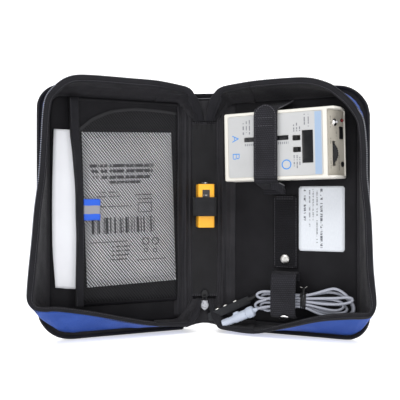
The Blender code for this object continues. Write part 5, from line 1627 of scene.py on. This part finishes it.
o, rows = strap("strap_anchor", band(46.4, 70.8, [(149.9, 7.55), (153.0, 7.5), (155.9, 8.2), (157.0, 14), (158.6, 22), (160.2, 31), (161.9, 39.2)]), WEBBING, 1.4, 16, "right_half", ["unit_strap_anchor"], 12.0, 6, 0.15)
pts = [(162.3, 40.3), (162.6, 41.6), (164.6, 42.9), (170, 43.15), (190, 43.3), (212, 43.3), (228, 43.3), (233.5, 43.0), (236.4, 41.2), (238.0, 36.0), (239.8, 26.0), (241.8, 16.0), (243.4, 10.0)]
rows = band(46.4, 70.8, pts)
for q in (10, 11, 12):
    t = (q - 9) / 3
    rows[q] = (RIGHT(46.4 + 9.0 * t, pts[q][0] + 3.0 * t, pts[q][1]), RIGHT(70.8 + 8.5 * t, pts[q][0] + 4.5 * t, pts[q][1]))
o, rows = strap("unit_strap_band", rows, WEBBING, 1.35, 16, "unit_strap", ["unit_strap"], 13.0, 6, 0.25)
# the sewn-on rounded end over it
rows, suv = [], []
for i in range(37):
    z = lerp(165.6, 241.5, i / 36)
    top = 241.5
    r = 12.0
    d = max(0.0, z - (top - r))
    hw = 12.15 if d <= 0 else math.sqrt(max(0.8, r * r - d * d)) * 12.15 / 12.0
    row = []
    for j in range(17):
        s = j / 16 * 2 - 1
        u = 58.6 + hw * s
        lift = 0.22 * noise.noise(Vector((z * 0.06, s * 1.8, 21.0))) + 0.55 * math.exp(-((z - 232) / 7.0) ** 2) * (1 - s * s) - 0.5 * smooth((z - 236) / 5.0)
        row.append(RIGHT(u, z, 44.55 + lift))
        suv.append((u * MM, z * MM))
    rows.append(row)
verts = [v for r in rows for v in r]
faces = [(i * 17 + j, (i + 1) * 17 + j, (i + 1) * 17 + j + 1, i * 17 + j + 1) for i in range(36) for j in range(16)]
o = finish_mesh("unit_strap_front", verts, faces, WEBBING, suv, 60)
sol = o.modifiers.new("webbing_thickness", "SOLIDIFY")
sol.thickness, sol.offset = 1.2 * MM, 0.0
settle(o, "unit_strap")
over = Many()
arc = [RIGHT(58.6 + 10.6 * math.cos(math.radians(t)), 229.6 + 10.4 * math.sin(math.radians(t)), 45.35) for t in range(8, 173, 6)]
stitches(over, [RIGHT(69.1, 168, 45.25)] + [RIGHT(69.2, 226, 45.3)] + arc + [RIGHT(48.0, 226, 45.3), RIGHT(48.1, 168, 45.25)], n_right, 2.7, 1.9, 0.23, 0.05)
stitches(over, [RIGHT(49.5, 227.5, 45.6), RIGHT(67.7, 227.5, 45.6)], n_right, 2.7, 1.9, 0.23, 0.05)
stitches(over, [RIGHT(49.5, 219.5, 45.35), RIGHT(67.7, 219.5, 45.35)], n_right, 2.7, 1.9, 0.23, 0.05)
settle(over.make("unit_strap_stitches", [THREAD], 40), "unit_strap")
# light grey tube along the edge of the leg behind, a painted highlight, and the folded tail at its lower end
many = Many()
pts = [RIGHT(71.6, 237.0, 41.0), RIGHT(75.0, 241.0, 31.0), RIGHT(78.6, 246.0, 19.0), RIGHT(80.6, 249.0, 12.0)]
for a, b in zip(pts, pts[1:]):
    many.pill(a, b + (b - a) * 0.08, 0.62 * MM, 8)
settle(many.make("strap_edge_painted_highlight", [plastic("leg_edge_painted_highlight", (0.085, 0.083, 0.095), 0.5, 0.00006, 0.15, grain_scale=2500.0)], 60), "unit_strap")
tail_path = [(RIGHT(62.4, 163.8, 39.2), RIGHT(61.0, 156.0, 33.0)), (RIGHT(67.0, 163.6, 37.0), RIGHT(65.0, 154.6, 31.0)), (RIGHT(71.2, 161.8, 34.4), RIGHT(68.4, 152.6, 29.0)), (RIGHT(75.8, 158.8, 32.0), RIGHT(72.6, 149.6, 27.0))]
o, rows = strap("strap_tail", tail_path, WEBBING, 1.2, 8, "unit_strap", (), 15.0, 5, 0.3)
# pale tube along the tail's upper edge: painted glint
many = Many()
many.pill(RIGHT(66.6, 163.8, 37.6), RIGHT(75.8, 158.9, 32.4), 0.45 * MM, 8)
settle(many.make("tail_edge", [plastic("tail_edge_painted_glint", (0.16, 0.16, 0.17), 0.5, 0.00006, 0.15, grain_scale=2500.0)], 60), "unit_strap")

# strap round the lead
pts = [(58.2, 9.8), (63.0, 9.8), (66.2, 10.2), (67.9, 12.4), (68.0, 19.0), (67.9, 25.4), (66.6, 28.3), (63.6, 29.6), (54, 30.1), (44, 30.5), (34.5, 30.75), (28.5, 30.2), (24.8, 28.7), (22.4, 25.4), (21.7, 20.2)]
rows = []
for i, (z, n) in enumerate(pts):
    f = math.exp(-((i - 6.5) / 1.3) ** 2)
    rows.append((RIGHT(60.2 + 0.4 * f, z - 2.4 * f, n), RIGHT(86.2 + 0.9 * f, z + 0.8 * f, n + 0.4 * f)))
o, rows = strap("lead_strap_band", rows, WEBBING, 1.35, 18, "lead_strap", ["lead_strap"], 17.0, 6, 0.22)
ax = direction(RIGHT, (0, -0.80, 0.60))
many = Many()
many.turned(RIGHT(74.6, 22.6, 27.2) + ax * (0.2 * MM), ax, [(5.1, 0), (5.2, 0.3), (5.0, 0.75), (4.5, 1.05), (3.4, 1.25), (2.0, 1.35), (0.05, 1.4)], 32)
settle(many.make("lead_strap_cap", [CHROME], 60), "lead_strap", ["lead_strap_snap"])
settle(more.make("right_webbing_stitches", [THREAD], 40), "right_half")

# ------------------------------------------------------------------ lead: plug, snap block, cord and its tie
PLUG_TIP, PLUG_ROOT = Vector((5.4, 9.8, 22.7)), Vector((40.6, 26.8, 21.8))
PLUG_LEN = (PLUG_ROOT - PLUG_TIP).length
pdir = (PLUG_ROOT - PLUG_TIP).normalized()
pside = pdir.cross(Vector((0, 0, 1))).normalized()
if pside.y < 0:
    pside = -pside
pup = pside.cross(pdir)
if pup.z < 0:
    pup = -pup


def plug(l, s, t):
    return RIGHT(*(PLUG_TIP + pdir * l + pside * s + pup * t))


PX, PS, PU = direction(plug, (1, 0, 0)), direction(plug, (0, 1, 0)), direction(plug, (0, 0, 1))
many = Many()
many.turned(plug(0, 0, 0), PX, [(0.05, 7.0), (3.3, 7.0), (3.5, 0.3), (3.8, 0.0), (4.0, 0.05), (4.25, 0.4), (4.25, 14.2), (4.3, 14.4), (4.85, 14.5), (4.95, 14.8), (4.95, 28.8), (4.7, 29.2), (4.25, 29.35)], 36)
many.block(plug(18.6, 5.1, 0.6), PX, PU, PS, 2.9 * MM, 2.0 * MM, 1.1 * MM, 0.2)
for q in range(3):
    many.block(plug(17.2 + q * 1.4, 6.25, 0.6), PX, PU, PS, 0.3 * MM, 1.7 * MM, 0.25 * MM, 0.3)
settle(many.make("plug_barrel", [PLUG], 35), "right_half", ["lead_plug"])
many = Many()
many.turned(plug(0, 0, 0), PX, [(0.05, 29.5), (4.6, 29.5), (5.2, 29.7), (5.55, 30.2), (5.65, 31.6), (5.65, 36.4), (5.3, 37.4), (4.4, 38.0), (2.9, 38.3), (2.5, 39.6), (1.9, 41.2), (1.7, 42.2), (0.05, 42.3)], 36)
for q in range(18):
    a = 2 * math.pi * q / 18
    many.pill(plug(31.6, 5.62 * math.cos(a), 5.62 * math.sin(a)), plug(36.2, 5.62 * math.cos(a), 5.62 * math.sin(a)), 0.28 * MM, 6)
settle(many.make("plug_collar_nut", [PLUG], 40), "right_half", ["plug_collar"])
many = Many()
many.block(plug(10.9, 4.1, 0.8), PX, PU, PS, 2.4 * MM, 1.3 * MM, 0.6 * MM, 0.3)
for q in range(5):
    a = 2 * math.pi * q / 5
    many.pill(plug(2.0, 2.0 * math.cos(a), 2.0 * math.sin(a)), plug(7.6, 2.0 * math.cos(a), 2.0 * math.sin(a)), 0.4 * MM, 8, 1)
settle(many.make("plug_pins", [BLACK_PLASTIC, SNAP], 40), "right_half")

BAR_A, BAR_B = Vector((-12.4, 15.0, 21.0)), Vector((32.6, 36.4, 12.2))
BAR_LEN = (BAR_B - BAR_A).length
bdir = (BAR_B - BAR_A).normalized()
bw = bdir.cross(Vector((0, 0, 1))).normalized()
if bw.y < 0:
    bw = -bw
bt = bw.cross(bdir)
if bt.z < 0:
    bt = -bt


def bar(l, w, t):
    return RIGHT(*(BAR_A + bdir * l + bw * w + bt * t))


def slab(t0, t1, e, r=2.4):
    ring = rounded_rect(e, -4.3 + e, BAR_LEN - e, 4.3 - e, r, 4)
    return [[bar(l, w, t) for l, w in ring] for t in (t0, t1)]


many = Many()
for t0, t1 in ((-2.2, -0.12), (0.12, 2.2)):
    m_, h_ = 0.5 * (t0 + t1), 0.5 * (t1 - t0)
    rings = []
    for q, e in ((-1.0, 0.55), (-0.82, 0.18), (-0.5, 0.0), (0.5, 0.0), (0.82, 0.18), (1.0, 0.55)):
        rings += slab(m_ + h_ * q, 0, e)[:1]
    many.rings(rings)
for w in (-3.4, 3.4):
    many.pill(bar(2, w * 0.92, 0), bar(BAR_LEN - 2, w * 0.92, 0), 0.5 * MM, 6)
for l in (4.2, 13.4, 24.4, 36.6):
    many.block(bar(l, 0, 2.25), direction(bar, (1, 0, 0)), direction(bar, (0, 1, 0)), direction(bar, (0, 0, 1)), 0.35 * MM, 3.6 * MM, 0.12 * MM, 0.3)
settle(many.make("snap_block", [plastic("dark_block", (0.013, 0.014, 0.017), 0.5, 0.00012, 0.25, 0.25)], 40), "lead_block", ["lead_block"])
wd = direction(bar, (0, 1, 0))
for q, l in enumerate((12.0, 21.5, 33.5)):
    many = Many()
    many.turned(bar(l + 1.0, 4.0, 0.3), wd, [(2.6, 0), (2.95, 0.4), (3.0, 1.1), (2.6, 1.5), (1.6, 1.75), (0.05, 1.85)], 24)
    settle(many.make("block_snap_" + "abc"[q], [SNAP], 50), "lead_block", ["lead_snap_" + str(q + 1)])

# the cord: one length, hanked, from the plug's collar to the block
TIE_U, TIE_N = 92.4, 18.7
SLOT = {}
for q, z in enumerate((45.2, 42.2, 39.2, 36.2, 33.2)):
    SLOT["A" + str(q + 1)] = (TIE_U, z, 20.3)
    SLOT["B" + str(q + 1)] = (TIE_U, z, 17.2)
collar_end = PLUG_TIP + pdir * 41.0
S = [tuple(collar_end), tuple(PLUG_TIP + pdir * 45.0), (50.0, 30.6, 22.2), (58, 32.0, 22.4), (70, 33.0, 21.0)]
R1 = [(u, z, n) for (u, z), n in zip([(110, 26.5), (128, 25.2), (139, 27), (143.4, 31), (143.2, 38), (138.5, 45.5), (132, 51.5), (125, 54.3), (119.7, 53.3)], (17, 17.5, 18, 19, 19.5, 20.5, 21, 21, 20.6))]
R2 = [(u, z, 22.5) for u, z in [(112, 38.2), (128, 38.6), (139, 41), (144, 44), (140, 46.6), (126, 44.8), (110, 43.6)]]
R3 = [(u, z, 18.5) for u, z in [(108, 33), (122, 29.8), (133, 29.8), (137.6, 33.6), (133, 37.4), (120, 38.6), (106, 39)]]
R4 = [(u, z, 16.6) for u, z in [(106, 47), (118, 49.5), (130, 48), (139, 41.5), (142.5, 34), (139.5, 28.5), (128, 27), (110, 29)]]
R5 = [(u, z, 20.0) for u, z in [(108, 34), (121, 31.8), (130, 32.8), (134.5, 36.8), (131, 41), (119, 43), (106, 42.6)]]
LA = [(58, 47.2, 20.5), (48, 46.8, 21), (41.6, 43.4, 21.2), (46, 39.8, 21), (58, 39.6, 20.6)]
LB = [(60, 38.6, 17), (50, 38, 17), (45.6, 41, 16.8), (50, 43.9, 16.8), (58, 44.2, 17), (80, 45, 17.2)]
LC = [(60, 41.4, 22.6), (50, 37.8, 22.4), (43.4, 35.6, 21.6), (39.8, 32, 20.4), (43, 28.6, 19.4), (52, 29.6, 18.2), (64, 33.5, 17.6)]
LD = [(70, 29.8, 17.2), (57, 26.6, 17.2), (48.5, 27.2, 18), (45.4, 31.8, 19), (50, 35.4, 20), (62, 35.8, 20.2)]
inside = BAR_B - bdir * 7.0
E = [(70, 42, 17.2), (58, 43.4, 14.5), (48, 44.8, 12.4), (39.5, 40.6, 12.0), tuple(BAR_B), tuple(inside)]
chain = S + [SLOT["A5"]] + R1 + [SLOT["A1"]] + LA + [SLOT["A3"]] + R2 + [SLOT["A2"]] + LC + [SLOT["B4"]] + R3 + [SLOT["B3"]] + LB + [SLOT["B1"]] + R4 + [SLOT["B5"]] + LD + [SLOT["A4"]] + R5 + [SLOT["B2"]] + E
CORD_D = 2.8


def hank(chain):
    """Pushes the strands apart for 80 steps, keeping the tied points and both ends."""
    line = np.array(catmull(chain, 8))
    fixed = [np.array(s) for s in SLOT.values()]

    def even(p, step):
        d = np.concatenate([[0], np.cumsum(np.linalg.norm(np.diff(p, axis=0), axis=1))])
        n = max(2, int(round(d[-1] / step)))
        return np.stack([np.interp(np.linspace(0, d[-1], n + 1), d, p[:, c]) for c in range(3)], axis=1)
    p = even(line, 2.0)
    home = p.copy()
    for it in range(80):
        n = len(p)
        hold = np.zeros(n, bool)
        hold[:4] = hold[-9:] = True
        for f in fixed:
            hold[np.argmin(np.linalg.norm(p - f, axis=1))] = True
        near = np.zeros(n)
        for f in fixed:
            near = np.maximum(near, np.exp(-((np.linalg.norm(p - f, axis=1)) / 5.0) ** 2))
        d = p[:, None, :] - p[None, :, :]
        r = np.linalg.norm(d, axis=2)
        apart = np.abs(np.subtract.outer(np.arange(n), np.arange(n)))
        close = (r < 3.0) & (apart > 4)
        w = np.where(close, (3.0 - r) / np.maximum(r, 1e-3) * 0.5, 0.0)
        push = (d * w[:, :, None])
        push[:, :, 2] *= 1.3
        move = push.sum(axis=1)
        size = np.linalg.norm(move, axis=1)
        move *= np.minimum(1.0, 0.8 / np.maximum(size, 1e-6))[:, None]
        bend = np.zeros_like(p)
        bend[1:-1] = 0.5 * (p[:-2] + p[2:]) - p[1:-1]
        pull = (home - p) * np.array([0.06, 0.06, 0.02])
        p = p + np.where(hold[:, None], 0.0, move * (1 - 0.5 * near)[:, None] + bend * 0.12 + pull)
        free = ~hold
        tail = np.arange(n) > n - 26
        p[:, 2] = np.where(free & ~tail, np.clip(p[:, 2], 15.9, 24.2), p[:, 2])
    return p


cord_line = hank(chain)
cord_pts = [RIGHT(*q) for q in cord_line]
cord_len = sum((b - a).length for a, b in zip(cord_pts, cord_pts[1:]))


def poly_cord(name, pts, diameter, mat):
    c = bpy.data.curves.new(name, "CURVE")
    c.dimensions = "3D"
    s = c.splines.new("POLY")
    s.points.add(len(pts) - 1)
    for q, v in zip(s.points, pts):
        q.co = (*v, 1)
    c.bevel_depth = diameter / 2 * MM
    c.bevel_resolution = 4
    c.use_fill_caps = True
    c.materials.append(mat)
    o = bpy.data.objects.new(name, c)
    bpy.context.scene.collection.objects.link(o)
    return o


lead = poly_cord("lead_cord", cord_pts, CORD_D, LEAD)
settle(lead, "right_half", ["lead_hank"])
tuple(cord_pts[0])
# dark tapered sleeve where the cord enters the block
end = [RIGHT(*q) for q in cord_line[::-1][:16]]
many = Many()
rings = []
for i in range(2, 16):
    c = end[i]
    t = (end[min(i + 1, 15)] - end[i - 1]).normalized()
    s = t.cross(n_right).normalized()
    v = s.cross(t)
    r = lerp(3.0, 1.75, smooth((i - 2) / 13)) - (0.28 if i % 2 else 0.0)
    rings.append([c + (s * math.cos(2 * math.pi * q / 18) + v * math.sin(2 * math.pi * q / 18)) * (r * MM) for q in range(18)])
many.rings(rings)
settle(many.make("block_strain_relief", [BLACK_PLASTIC], 60), "lead_block")
# twisted wire tie round the hank
many = Many()
wire = []
for i in range(133):
    a = 2 * math.pi * i / 30 + 0.6
    t = i / 132
    wob = 0.35 * math.sin(a * 0.7 + 1.0)
    wire.append(RIGHT(TIE_U - 3.0 + 6.0 * t + wob * 0.8, 39.2 + (8.3 + wob * 0.4) * math.sin(a), TIE_N + (4.3 + 0.3 * math.sin(i * 0.21)) * math.cos(a)))
for q in (0, 1):
    z0 = wire[0] if q == 0 else wire[-1]
    ends = [z0]
    for i in range(1, 16):
        a = i * 0.9 + q * math.pi
        ends.append(RIGHT(TIE_U + 0.6 + 0.7 * math.cos(a) + (1.6 if q else -1.2) * smooth((i - 10) / 5), 47.0 + i * 0.42, TIE_N + 3.0 + 0.7 * math.sin(a)))
    wire = ends[::-1] + wire if q == 0 else wire + ends[1:]
tie = poly_cord("wire_tie", wire, 1.5, plastic("tie_coat", (0.010, 0.010, 0.011), 0.4, 0.00004, 0.2, 0.4))
settle(tie, "right_half", ["lead_tie"])
many = Many()
for q in (0, -1):
    a, b = wire[q], wire[1 if q == 0 else -2]
    d = (a - b).normalized()
    many.pill(a - d * (0.4 * MM), a + d * (2.6 * MM) + u_right * ((0.9 if q else -0.9) * MM), 0.3 * MM, 6)
settle(many.make("tie_wire_ends", [SNAP], 60), "right_half")
print("cord length", round(cord_len, 4), "points", len(cord_pts))
